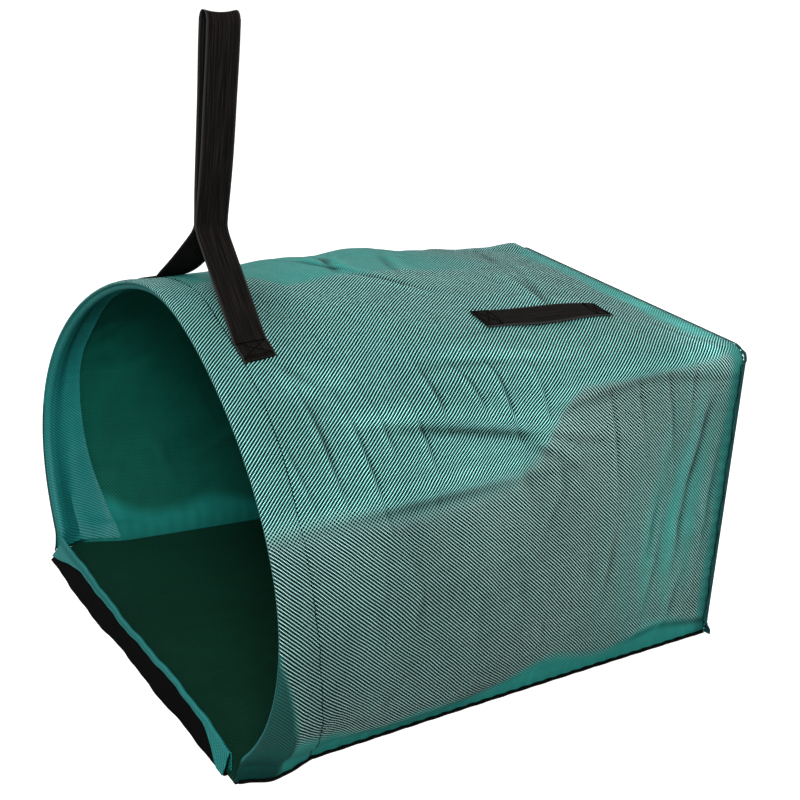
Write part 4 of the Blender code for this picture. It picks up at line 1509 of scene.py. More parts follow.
    def plain_crown(self, arc: Array, depth: Array) -> Array:
        """A patch over the crown behind the mouth: eased steps on its four sides, the left one waved.

        Args:
            arc: distances from the crown, below 0 on the left.
            depth: depths behind the mouth.

        Returns:
            Values from 0 to 1.
        """
        front, back, soft = (0.03, 0.05), (0.42, 0.2), 0.02
        left, left_soft, swing, count = 0.27, 0.04, 0.02, 40
        line = np.interp(depth, self.plain_depths, self.plain_arcs)
        patch = 1 - ease((arc - line) / soft + 0.5)
        patch = patch * ease((arc + left + swing * np.sin(depth * count)) / left_soft)
        return patch * (1 - eased(depth, back)) * eased(depth, front)

    @staticmethod
    def plain_streaks(over: Array, depth: Array) -> Array:
        """Streaks before the rear seam: waved stripes under a bell along a slanting line.

        Args:
            over: distances from the crown, without their side.
            depth: depths behind the mouth.

        Returns:
            Values from 0 to 1.
        """
        pitch, swing, count = 0.047, 0.04, 9
        middle_depth, middle_over, slope, level = 0.72, 0.50, 0.25, 0.4
        streak = 0.5 + 0.5 * wave(depth - swing * np.sin(over * count), pitch)
        place = bump(depth - middle_depth + slope * (over - level), 0.10) * bump(over - middle_over, 0.17)
        return place * (0.35 + 0.4 * streak)

    @staticmethod
    def plain_strip(over: Array, depth: Array) -> Array:
        """A strip along the rear of the top, with a ragged front edge: two eased steps multiplied."""
        front, side, ragged, count = (0.742, 0.022), (0.19, 0.07), 0.010, 31
        return eased(depth - ragged * np.sin(over * count), front) * (1 - eased(over, side))

    def rib_lean(self, arc: Array, depth: Array) -> Array:
        """Which way the ribs slant, from 0 to 1: an eased step past a line that rises to the rear."""
        line = np.interp(depth, self.lean_depths, self.lean_arcs)
        return ease((np.abs(arc) - line) / np.interp(depth, (0.36, 0.46), (0.045, 0.012)) + 0.5)

    def skin(self, share: Array, depth: Array, lift: Array | float = 0.0) -> Array:
        """Points that stand off the cloth's outer face, and always above the ground.

        Args:
            share: shares over the wrap.
            depth: depths behind the mouth.
            lift: how far they stand off, or inside when below 0.

        Returns:
            Points.
        """
        share, depth = np.broadcast_arrays(np.asarray(share, float), np.asarray(depth, float))
        off = self.relief(share, depth) + lift
        made = self.point(share, depth) + self.normal(share, depth) * off[..., None]
        made[..., 2] = np.maximum(made[..., 2], FLOOR_CLEAR)
        return made

    def floor_half(self, depth: Array) -> Array:
        """Half the floor's width at depths."""
        return self.point(np.ones_like(depth), np.clip(depth, 0, self.depth))[..., 0]


# Pieces that stand for the imported model's nodes


def stand_for(piece: Piece, nodes: tuple[str, ...]) -> Piece:
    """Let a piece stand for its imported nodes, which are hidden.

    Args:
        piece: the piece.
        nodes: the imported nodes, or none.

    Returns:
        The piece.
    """
    if nodes:
        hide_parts(*nodes)
    return piece


def dress(piece: Piece, body: str, slot: str, *nodes: str) -> Piece:
    """Let a piece move with a body and let it stand for its nodes."""
    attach(piece, body)
    return stand_for(piece, nodes)


def bend(piece: Piece, bodies: tuple[str, str], start: Array, end: Array, slot: str,
         *nodes: str) -> Piece:
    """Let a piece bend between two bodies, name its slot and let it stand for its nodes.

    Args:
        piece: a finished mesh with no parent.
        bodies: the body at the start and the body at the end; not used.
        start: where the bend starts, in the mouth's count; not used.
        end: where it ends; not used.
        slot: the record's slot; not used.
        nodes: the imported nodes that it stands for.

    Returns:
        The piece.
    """
    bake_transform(piece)
    return stand_for(piece, nodes)


# The bag's pieces


@dataclass
class Assembly:
    """Pieces that belong together, made over the bag's form in its finishes."""

    form: BagForm
    finishes: Finishes

    def build(self) -> list[Piece]:
        """Make every piece."""
        raise NotImplementedError


@dataclass
class Body(Assembly):
    """The wrap, the rear panel and the two floors."""

    columns: dict[Side, int] = field(default_factory=lambda: {Side.LEFT: 170, Side.RIGHT: 175})
    hem_rows: int = 18
    back_rows: dict[Side, int] = field(default_factory=lambda: {Side.LEFT: 120, Side.RIGHT: 248})
    fine_rows: tuple[float, float] = (0.62, 0.46)
    fold_rows: int = 7
    fold_radius: float = 0.0022
    edge_clear: float = 0.0002
    rear_swell: float = 0.008
    rear_columns: int = 72
    hem_crowding: float = 1.25
    ripples: tuple[Wave, ...] = ((0.13, 0.21, 0.0), (0.057, -0.16, 1.0))
    rear_pucker: float = 0.0012

    def wrap(self, side: Side) -> Piece:
        """One half of the sheet over the sides and the top, rolled in round the mouth's edge.

        Rows first go round the rolled edge as half a circle, then to the hem's line, then to the
        rear, the last ones closer near the hem. Columns go from the crown to the foot. A spare
        column past the crown gives the directions there, so that both halves meet in one face.

        Args:
            side: which half.

        Returns:
            The piece.
        """
        form = self.form
        share = side.value * np.linspace(0, 1, self.columns[side])[:, None]
        share = np.concatenate([-share[1:2], share])
        hem = form.hem_line(share)
        centre = self.fold_radius + self.edge_clear
        turn = np.linspace(math.pi, 0, self.fold_rows)[None, :]
        across_hem = 1 - crowded(self.hem_rows, self.hem_crowding)[::-1][None, 1:]
        hem_depth = centre + (hem - centre) * across_hem
        steps = np.linspace(0, 1, self.back_rows[side])[None, 1:]
        steps = np.interp(steps, (0, self.fine_rows[0], 1), (0, self.fine_rows[1], 1))
        behind = hem + (form.depth - hem) * steps
        flat = np.concatenate([hem_depth, behind], 1)
        faces = []
        for radius, lift in ((self.fold_radius, 0.0), (self.fold_radius - CLOTH, -CLOTH)):
            depth = np.broadcast_to(centre - radius * np.sin(turn), (len(share), self.fold_rows))
            rolled = np.broadcast_to(radius * np.cos(turn) - self.fold_radius, depth.shape)
            depth = np.concatenate([depth, flat], 1)
            lifts = np.concatenate([rolled, np.full(flat.shape, lift)], 1)
            faces.append(form.skin(np.broadcast_to(share, depth.shape), depth, lifts))
        outward = grid_normals(faces[0])[1] * side.value
        roll = self.fold_radius * turn
        v = np.concatenate([np.broadcast_to(centre - roll, (len(share), self.fold_rows)), flat], 1)[1:]
        u = side.value * form.arc(np.broadcast_to(share[1:], v.shape), np.clip(v, 0, form.depth))
        # the inner face takes the darker inside cloth as painted shade, and the points carry painted shade
        # and highlights
        finishes = self.finishes
        piece = shell(f"wrap_cloth_{side.word}", faces[0][1:], faces[1][1:], np.stack([u, v], -1),
                      [finishes.woven, finishes.inside, finishes.facing],
                      marks={LEAN_NAME: form.rib_lean(u, v), PLAIN_NAME: form.closed_weave(u, v),
                             PAINTED_LIGHT_NAME: form.painted_light_and_shade(u, np.clip(v, 0, form.depth))},
                      turned=self.fold_rows // 2, joined=outward)
        dress(piece, "bag", "woven_green", "wrap_panel")
        mouth, rear = float(form.total(0.0)), float(form.total(form.depth))
        return piece

    def rear(self) -> Piece:
        """The rear panel: rows across at each height of the rear outline, swollen and waved.

        The swell is a parabola across times half a sine wave upwards. The waves fade at its edges,
        where puckers, a sine of the turn round the middle, die away from the seam.

        Returns:
            The piece.
        """
        form = self.form
        corner = form.rear_side(10)
        side = np.linspace((form.rear_foot_half, FOOT), corner[0], 46)
        rows = np.concatenate([side[:-1], corner])
        even = np.linspace(-1, 1, self.rear_columns)
        across = 0.4 * np.sin(even * math.pi / 2) + 0.6 * even
        half, up = rows[:, 0][:, None], rows[:, 1][:, None]
        middle = 1 - across**2
        swell = self.rear_swell * middle * hump(up / form.rear_height)
        side_fade, level_fade, seam_fade, reach, count = 0.12, 0.03, 0.006, 0.02, 58
        inwards, low = 1 - np.abs(across), ease(up / level_fade)
        free = ease(inwards / side_fade) * low * ease((form.rear_height - up) / level_fade)
        seam = np.minimum(inwards * half, form.rear_height - up)
        ring = np.arctan2(up - form.rear_height / 2, across * half)
        puckers = self.rear_pucker * np.exp(-seam / reach) * np.sin(ring * count)
        relief = form.waved(across * half, up, 1.0) * free + puckers * ease(seam / seam_fade) * low
        depth = form.depth - form.rear_lean * up + swell + relief
        outer = np.stack(np.broadcast_arrays(across * half, depth + GAP + CLOTH, up), -1)
        inner = outer - np.array((0, CLOTH, 0))
        uv = np.stack(np.broadcast_arrays(across * form.rear_foot_half, up), -1)
        # the inner face takes the darker rear cloth as painted shade
        piece = shell("rear_cloth", outer, inner, uv, [self.finishes.woven, self.finishes.rear_inside_shaded])
        dress(piece, "bag", "woven_green", "rear_panel")
        return piece

    def floor(self, name: str, low: float, thick: float, margin: float, end: float,
              material: Material, ripple: float) -> Piece:
        """A flat floor sheet that fills the walls' foot line, with faint ripples on its upper face.

        Args:
            name: the piece's name.
            low: its lower face's height.
            thick: its thickness.
            margin: how far its edges stay inside the walls' outer face.
            end: the depth of its rear edge.
            material: its finish.
            ripple: the height of its ripples.

        Returns:
            The piece.
        """
        across = np.linspace(-1, 1, 61)[None, :]
        depth = np.linspace(0, end, 81)[:, None]
        x, y = np.broadcast_arrays(across * (self.form.floor_half(depth) - margin), depth)
        rippled = sum(wave(x / wide + y / deep, 1.0, turn) for wide, deep, turn in self.ripples)
        side_fade, end_fade = 0.06, 0.02
        fade = ease((1 - np.abs(across)) / side_fade) * ease(y / end_fade) * ease((end - y) / end_fade)
        top = low + thick + ripple * (rippled + 2) / 4 * fade
        outer = np.stack([x, y, top], -1)
        inner = np.stack([x, y, np.full(x.shape, low)], -1)
        return shell(name, outer, inner, np.stack([x, y], -1), [material])

    def build(self) -> list[Piece]:
        """Make every sheet of the body.

        Returns:
            The pieces.
        """
        form = self.form
        end = form.depth + GAP + CLOTH
        base = self.floor("base_cloth", 0.0, BASE_CLOTH, 0.0, end, self.finishes.base, 0.0)
        dress(base, "bag", "base_black", "base_panel")
        liner = self.floor("liner_cloth", FOOT, CLOTH, CLOTH + 2 * GAP, form.depth - CLOTH,
                           self.finishes.liner, 0.0012)
        dress(liner, "bag", "liner_green", "floor_liner")
        return [base, liner, *(self.wrap(side) for side in Side), self.rear()]


@dataclass
class Seams(Assembly):
    """The sewn edges at the rear outline and along the floor."""

    width: float = 0.010
    thick: float = 0.0025
    turn_up: float = 0.0045
    end_clear: float = 0.004
    ride: float = 0.0004
    stitch_in: float = 0.0048
    side_slant: float = 163.0
    top_slant: float = -58.0
    foot_slant: float = 80.0
    turn_reach: float = 0.026
    corner_pinch: float = 0.62
    foot_step: Step = (0.004, 0.028)
    swings: tuple[Wave, ...] = ((0.16, 0.083, 0.0), (0.10, 0.031, 1.0))
    across: tuple[float, ...] = (0.0, 0.25, 0.5, 0.75, 0.93, 1.0)
    across_thin: tuple[float, ...] = (1.0, 1.0, 0.95, 0.95, 0.85, 0.5)
    floor_across: tuple[float, ...] = (0.0, 0.3, 0.6, 0.9, 1.0)
    wall_up: tuple[float, ...] = (0.0, 0.35, 0.7, 0.92, 1.0)
    wall_thin: tuple[float, ...] = (1.0, 1.0, 1.0, 0.9, 0.5)
    pitch: float = 0.0052

    def flange(self, share: Array, width: Array, lift: Array) -> Array:
        """Points on the sewn edge, laid forward on the side walls and down behind the top.

        Its slant goes from one to the other round the upper corners, and stands out at the feet.

        Args:
            share: shares over the wrap.
            width: distances out from the corner.
            lift: distances off the edge's middle.

        Returns:
            Points.
        """
        form = self.form
        outward = form.normal(share, np.full(share.shape, form.depth))
        outward[..., 1] = 0
        outward = unit(outward)
        arc = share * form.total(form.depth)
        up = form.at(form.rear_line, 1 - np.abs(share))[1]
        over_top = ease((up - form.rear_height + self.turn_reach) / self.turn_reach)
        low = 1 - eased(up, self.foot_step)
        width = width * (1 - self.corner_pinch * 4 * over_top * (1 - over_top))
        slant = self.side_slant + (self.top_slant - self.side_slant) * over_top
        slant = np.radians(slant + (self.foot_slant - slant) * low)
        slant = slant + waves(self.swings, arc) * np.minimum(width / self.width, 1)
        out = width * np.sin(slant) + lift * np.cos(slant)
        back = CLOTH + 2 * GAP + self.thick / 2 * over_top + width * np.cos(slant) - lift * np.sin(slant)
        depth = form.depth + np.minimum(back, 0)
        on_wall = np.maximum(form.relief(share, depth), 0) * ease(-2 * np.cos(slant))
        out = out + on_wall + GAP + self.thick / 2 * ease(-2 * np.cos(slant))
        rearward = np.array((0.0, 1.0, 0.0))
        made = form.point(share, depth) + outward * out[..., None] + rearward * np.maximum(back, 0)[..., None]
        made[..., 2] = np.maximum(made[..., 2], FLOOR_CLEAR)
        return made

    def arch(self) -> list[Piece]:
        """The rear outline's edge, and its stitches on both faces.

        Returns:
            The edge and the stitches.
        """
        share = np.linspace(-1, 1, 420)[:, None]
        width = np.array(self.across)[None, :] * self.width
        thin = np.array(self.across_thin)[None, :] * self.thick / 2
        share, width, thin = np.broadcast_arrays(share, width, thin)
        uv = np.stack([share * self.form.total(self.form.depth), width], -1)
        edge = shell("rear_seam_tape", self.flange(share, width, thin), self.flange(share, width, -thin),
                     uv, [self.finishes.seam])
        dress(edge, "bag", "seam_green", "rear_arch_seam")
        length = 2 * float(self.form.total(self.form.depth))
        lines = []
        line = np.linspace(-0.995, 0.995, 500)
        sewn = np.full(line.shape, self.stitch_in)
        for lift in (self.thick / 2, -self.thick / 2):
            points, far = (self.flange(line, sewn, np.full(line.shape, away)) for away in (lift, 2 * lift))
            lines.append((points, unit(far - points)))
        beads = Bead(length=0.0034).sew("rear_seam_stitching", lines, self.pitch, self.finishes.seam_thread)
        dress(beads, "bag", "thread_black")
        return [edge, beads]

    def floor_edges(self) -> list[Piece]:
        """The rear floor edge, and the black ones turned up each side wall.

        Returns:
            The three edges.
        """
        form = self.form
        end = form.rear_foot_half - self.end_clear
        x = np.linspace(-end, end, 121)[:, None]
        out = np.array(self.floor_across)[None, :] * self.width
        x, out = np.broadcast_arrays(x, out)
        low = self.ride + 0.0006 * (1 + wave(x, 0.05)) * out / self.width
        depth = form.depth + CLOTH + 2 * GAP + out
        outer = np.stack([x, depth, low + self.thick * np.where(out < 0.99 * self.width, 1, 0.6)], -1)
        inner = np.stack([x, depth, low], -1)
        rear = shell("rear_floor_seam_tape", outer, inner, np.stack([x, out], -1), [self.finishes.seam])
        dress(rear, "bag", "seam_green", "rear_floor_seam")
        made = [rear]
        depth = np.linspace(self.end_clear, form.depth - self.end_clear, 240)[:, None]
        up = np.array(self.wall_up)[None, :] * self.turn_up
        thin = np.array(self.wall_thin)[None, :] * self.thick
        depth, up, thin = np.broadcast_arrays(depth, up, thin)
        for side in Side:
            share = side.value * (1 - up / form.total(depth))
            ragged = 1 + 0.12 * wave(depth, 0.037, side.value)
            outer = form.skin(share, depth, GAP + thin * ragged)
            inner = form.skin(share, depth, GAP)
            tape = shell(f"side_seam_tape_{side.word}", outer, inner, np.stack([depth, up], -1),
                         [self.finishes.base])
            dress(tape, "bag", "base_black", f"side_seam_{side.word}")
            made.append(tape)
        return made

    def build(self) -> list[Piece]:
        """Make every seam."""
        return self.arch() + self.floor_edges()


@dataclass
class MouthHem(Assembly):
    """The hem turned in round the rod, its stitching, and the rod with its caps."""

    rod_from_edge: float = 0.0098
    rod_lift: float = -0.0067
    channel_radius: float = 0.0053
    round_rod: tuple[float, float] = (165, 312)
    lead: tuple[tuple[float, float], ...] = ((0.0031, -0.0037), (0.0038, -0.0044))
    tail_rise: float = 0.016
    widens: Step = (0.018, 0.02)
    foot_clear: float = 0.0065
    pitch: float = 0.0050

    def trimmed(self, count: int) -> Array:
        """Shares that stop short of each foot."""
        end = 1 - self.foot_clear / float(self.form.total(0.0))
        return np.linspace(-end, end, count)

    def profile(self) -> Array:
        """The facing's middle line: from the rolled edge, round the rod as an arc, eased to the hem's line.

        Returns:
            Points as (depth, lift).
        """
        angle = np.radians(np.linspace(*self.round_rod, 12))
        round_rod = np.stack([self.rod_from_edge + self.channel_radius * np.cos(angle),
                              self.rod_lift + self.channel_radius * np.sin(angle)], -1)
        last_depth, last = round_rod[-1]
        tail_depth = np.linspace(last_depth + 0.002, self.form.hem_width, 14)
        rise = eased(tail_depth, (last_depth, self.tail_rise))
        tail = np.stack([tail_depth, last + (-CLOTH * 1.5 - LAYER_GAP - last) * rise], -1)
        return np.concatenate([self.lead, round_rod, tail])

    def facing(self) -> Piece:
        """The hem's inner layer: the profile carried along the mouth, widened with the hem's line.

        Returns:
            The piece.
        """
        share = self.trimmed(330)[:, None]
        profile = self.profile()
        depth, lift = profile[:, 0][None, :], profile[:, 1][None, :]
        widen = self.form.hem_line(share) / self.form.hem_width
        depth = depth * (1 + (widen - 1) * eased(depth, self.widens))
        share, depth, lift = np.broadcast_arrays(share, depth, lift)
        middle = self.form.skin(share, depth, lift)
        piece = sheet_round("hem_facing_cloth", middle, CLOTH, self.finishes.facing)
        dress(piece, "bag", "liner_green", "hem_facing")
        length = 2 * float(self.form.total(0.0))
        return piece

    def stitching(self) -> Piece:
        """The hem's row of stitches.

        Returns:
            The piece.
        """
        share = self.trimmed(600)
        depth = self.form.hem_line(share)
        points = self.form.skin(share, depth, STITCH_LIFT)
        piece = Bead().sew("hem_stitching", [(points, self.form.normal(share, depth))], self.pitch,
                           self.finishes.thread)
        return dress(piece, "bag", "thread_black", "hem_stitch")

    def build(self) -> list[Piece]:
        """Make the hem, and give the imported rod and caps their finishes.

        Returns:
            The pieces.
        """
        repaint("mouth_hoop", self.finishes.rod)
        for side in Side:
            repaint("hoop_cap_" + side.word, self.finishes.vinyl)
        return [self.facing(), self.stitching()]


def repaint(node: str, material: Material) -> None:
    """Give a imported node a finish.

    Args:
        node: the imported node.
        material: its finish.
    """
    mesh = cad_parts[node].data
    mesh.materials.clear()
    mesh.materials.append(material)


@dataclass
class FrontLip(Assembly):
    """The sill that slants down and forward from the mouth's foot line to the ground."""

    half: float = 0.296
    top_depth: float = 0.0015
    places: tuple[float, ...] = (
        -0.296, -0.23, -0.12, -0.06, -0.02, 0.05, 0.10, 0.15, 0.20, 0.25, 0.296)
    heights: tuple[float, ...] = (
        0.0235, 0.0240, 0.0245, 0.0235, 0.0245, 0.0290, 0.0325, 0.0340, 0.0340, 0.0325, 0.0280)
    reaches: tuple[float, ...] = (
        0.0125, 0.0155, 0.0172, 0.0145, 0.0098, 0.0104, 0.0115, 0.0075, 0.0060, 0.0060, 0.0050)
    green_shows: tuple[float, ...] = (
        0.0125, 0.0120, 0.0085, 0.0070, 0.0066, 0.0060, 0.0056, 0.0052, 0.0048, 0.0044, 0.0040)
    drops: tuple[float, ...] = (0.0180, 0.0014, *(0.0012,) * 7, 0.0060, 0.0400)
    columns: int = 150
    batten: float = 0.0012
    black_thick: float = 0.0015
    green_thick: float = 0.0014
    head_radius: float = 0.0022
    front_height: float = 0.0026
    under_height: float = 0.0008
    lowest: float = 0.0022
    sag: float = 0.08
    fold_reach: float = 0.0008
    front_clear: float = 0.0004
    lean_out: float = 1.1
    batten_run: tuple[float, float] = (0.10, 0.52)
    batten_drop: float = 0.0017
    edge_waves: tuple[Wave, ...] = ((1.0, 0.105, 0.6), (0.5, 0.043, 0.0))
    edge_sizes: tuple[float, float, float] = (0.0005, 0.0006, 0.0007)
    end_clear: float = 0.003
    back_foot: tuple[float, float] = (0.0032, 0.0050)

    def evened(self, x: Array, values: tuple[float, ...]) -> Array:
        """A table read at places across, evened out over about 3 cm."""
        read = np.interp(x, self.places, values)
        return np.convolve(np.pad(read, 7, mode="edge"), np.ones(15) / 15, mode="valid")

    def spine(self) -> tuple[Array, Array, Array, Array]:
        """The lip's edges with small waves.

        Returns:
            Places across, the top edge's depths and heights, and how far the front edge reaches.
        """
        x = np.linspace(-self.half, self.half, self.columns)
        top, height, reach = (size * waves(self.edge_waves, x) for size in self.edge_sizes)
        height, reach = self.evened(x, self.heights) + height, self.evened(x, self.reaches) + reach
        return x, self.top_depth + top, height, reach

    @staticmethod
    def section(x: Array, depth: Array, up: Array) -> Array:
        """Points from places across and a section's depth and height."""
        return np.stack(np.broadcast_arrays(x[:, None], depth, up), -1)

    def slope(self, t: Array, drop: float) -> tuple[Array, Array, Array]:
        """The slanting layer: a straight run from the top to the front edge, less a sag of half a sine.

        Args:
            t: shares from its top to its front edge.
            drop: how far it is lowered.

        Returns:
            Places across, depths and heights.
        """
        x, top, height, reach = self.spine()
        sag = self.sag * hump(t) * (height[:, None] - CLOTH)
        depth = top[:, None] + (-reach[:, None] - top[:, None]) * t
        up = height[:, None] + (self.front_height - height[:, None]) * t - sag - drop
        return x, depth, up

    def outer(self) -> Piece:
        """The black layer: down the slope, folded at the ground as half an oval, and back under.

        Returns:
            The piece.
        """
        t = crowded(14, 0.9)[None, :]
        x, depth, up = self.slope(t, 0.0)
        reach = self.spine()[3][:, None]
        turn = np.linspace(0, math.pi, 7)[None, 1:]
        fold_depth = -reach - self.fold_reach * np.sin(turn)
        half_turn = (self.front_height - self.under_height) / 2
        fold_up = self.under_height + half_turn * (1 + np.cos(turn))
        back = np.linspace(0, 1, 7)[None, 1:]
        back_depth = -reach + (reach - LAYER_GAP) * back
        back_up = np.full(back_depth.shape, self.under_height)
        depth = np.concatenate([depth, fold_depth, back_depth], 1)
        up = np.concatenate([up, np.broadcast_to(fold_up, fold_depth.shape), back_up], 1)
        middle = self.section(x, depth, up)
        piece = sheet_round("front_lip_cloth", middle, self.black_thick, self.finishes.base)
        self.hinge(piece, "base_black", "front_lip")
        return piece

    def lining(self) -> Piece:
        """The green layer: over the top edge from the front, and down behind to the liner's front edge.

        Its head is half a circle over the top, its front end hangs before the black layer, lowest at
        both ends, and its back slopes down.

        Returns:
            The piece.
        """
        x, top, height, reach = self.spine()
        top, height, reach, shows, drop = (values[:, None] for values in (
            top, height, reach, self.evened(x, self.green_shows), self.evened(x, self.drops)))
        angle = np.linspace(math.pi, 0, 9)[None, :]
        head = height + shows - self.head_radius
        front = np.linspace(0, 1, 9)[None, :-1]
        low = np.maximum(height - drop, self.lowest)
        front_up = low + (head - low) * front
        steep = (reach + top) * np.maximum(height - front_up, 0) / (height - self.front_height)
        front_depth = top - self.head_radius - self.front_clear * (1 - front) - self.lean_out * steep
        head_depth = top + self.head_radius * np.cos(angle)
        head_up = head + self.head_radius * np.sin(angle)
        t = np.linspace(0, 1, 14)[None, 1:]
        back_depth = top + self.head_radius + (self.back_foot[0] - self.head_radius) * t
        back_up = head + (self.back_foot[1] - head) * t
        depth = np.concatenate([front_depth, head_depth, back_depth], 1)
        up = np.concatenate([front_up, head_up, back_up], 1)
        middle = self.section(x, depth, up)
        piece = sheet_round("lip_facing_cloth", middle, self.green_thick, self.finishes.facing)
        self.hinge(piece, "liner_green", "lip_facing")
        return piece

    def stiffener(self) -> Piece:
        """The thin strip between the two layers, under the slope's upper half.

        Returns:
            The piece.
        """
        x, depth, up = self.slope(np.linspace(*self.batten_run, 8)[None, :], self.batten_drop)
        keep = np.abs(x) < self.half - self.end_clear
        middle = self.section(x[keep], depth[keep], up[keep])
        piece = sheet_round("lip_batten_strip", middle, self.batten, self.finishes.vinyl)
        return self.hinge(piece, "vinyl_black", "lip_batten")

    @staticmethod
    def hinge(piece: Piece, slot: str, node: str) -> Piece:
        """Pass a piece to bend with the bag, the sill and two points from the ground up."""
        low, high = (0, -0.0069, 0.0020), (0, -0.0069, 0.0180)
        return bend(piece, ("bag", "sill"), low, high, slot, node)

    def build(self) -> list[Piece]:
        """Make the lip's three layers."""
        return [self.outer(), self.lining(), self.stiffener()]


def boxed_cross(half_length: float, half_width: float) -> list[Array]:
    """The lines of a boxed cross: four sides and two diagonals.

    Args:
        half_length: half its length.
        half_width: half its width.

    Returns:
        For each line its points as (along, across).
    """
    corners = np.array([(-1, -1), (1, -1), (1, 1), (-1, 1), (-1, -1)]) * (half_length, half_width)
    sides = [np.linspace(corners[k], corners[k + 1], 30) for k in range(4)]
    return sides + [np.linspace(corners[k], corners[k + 2], 40) for k in range(2)]


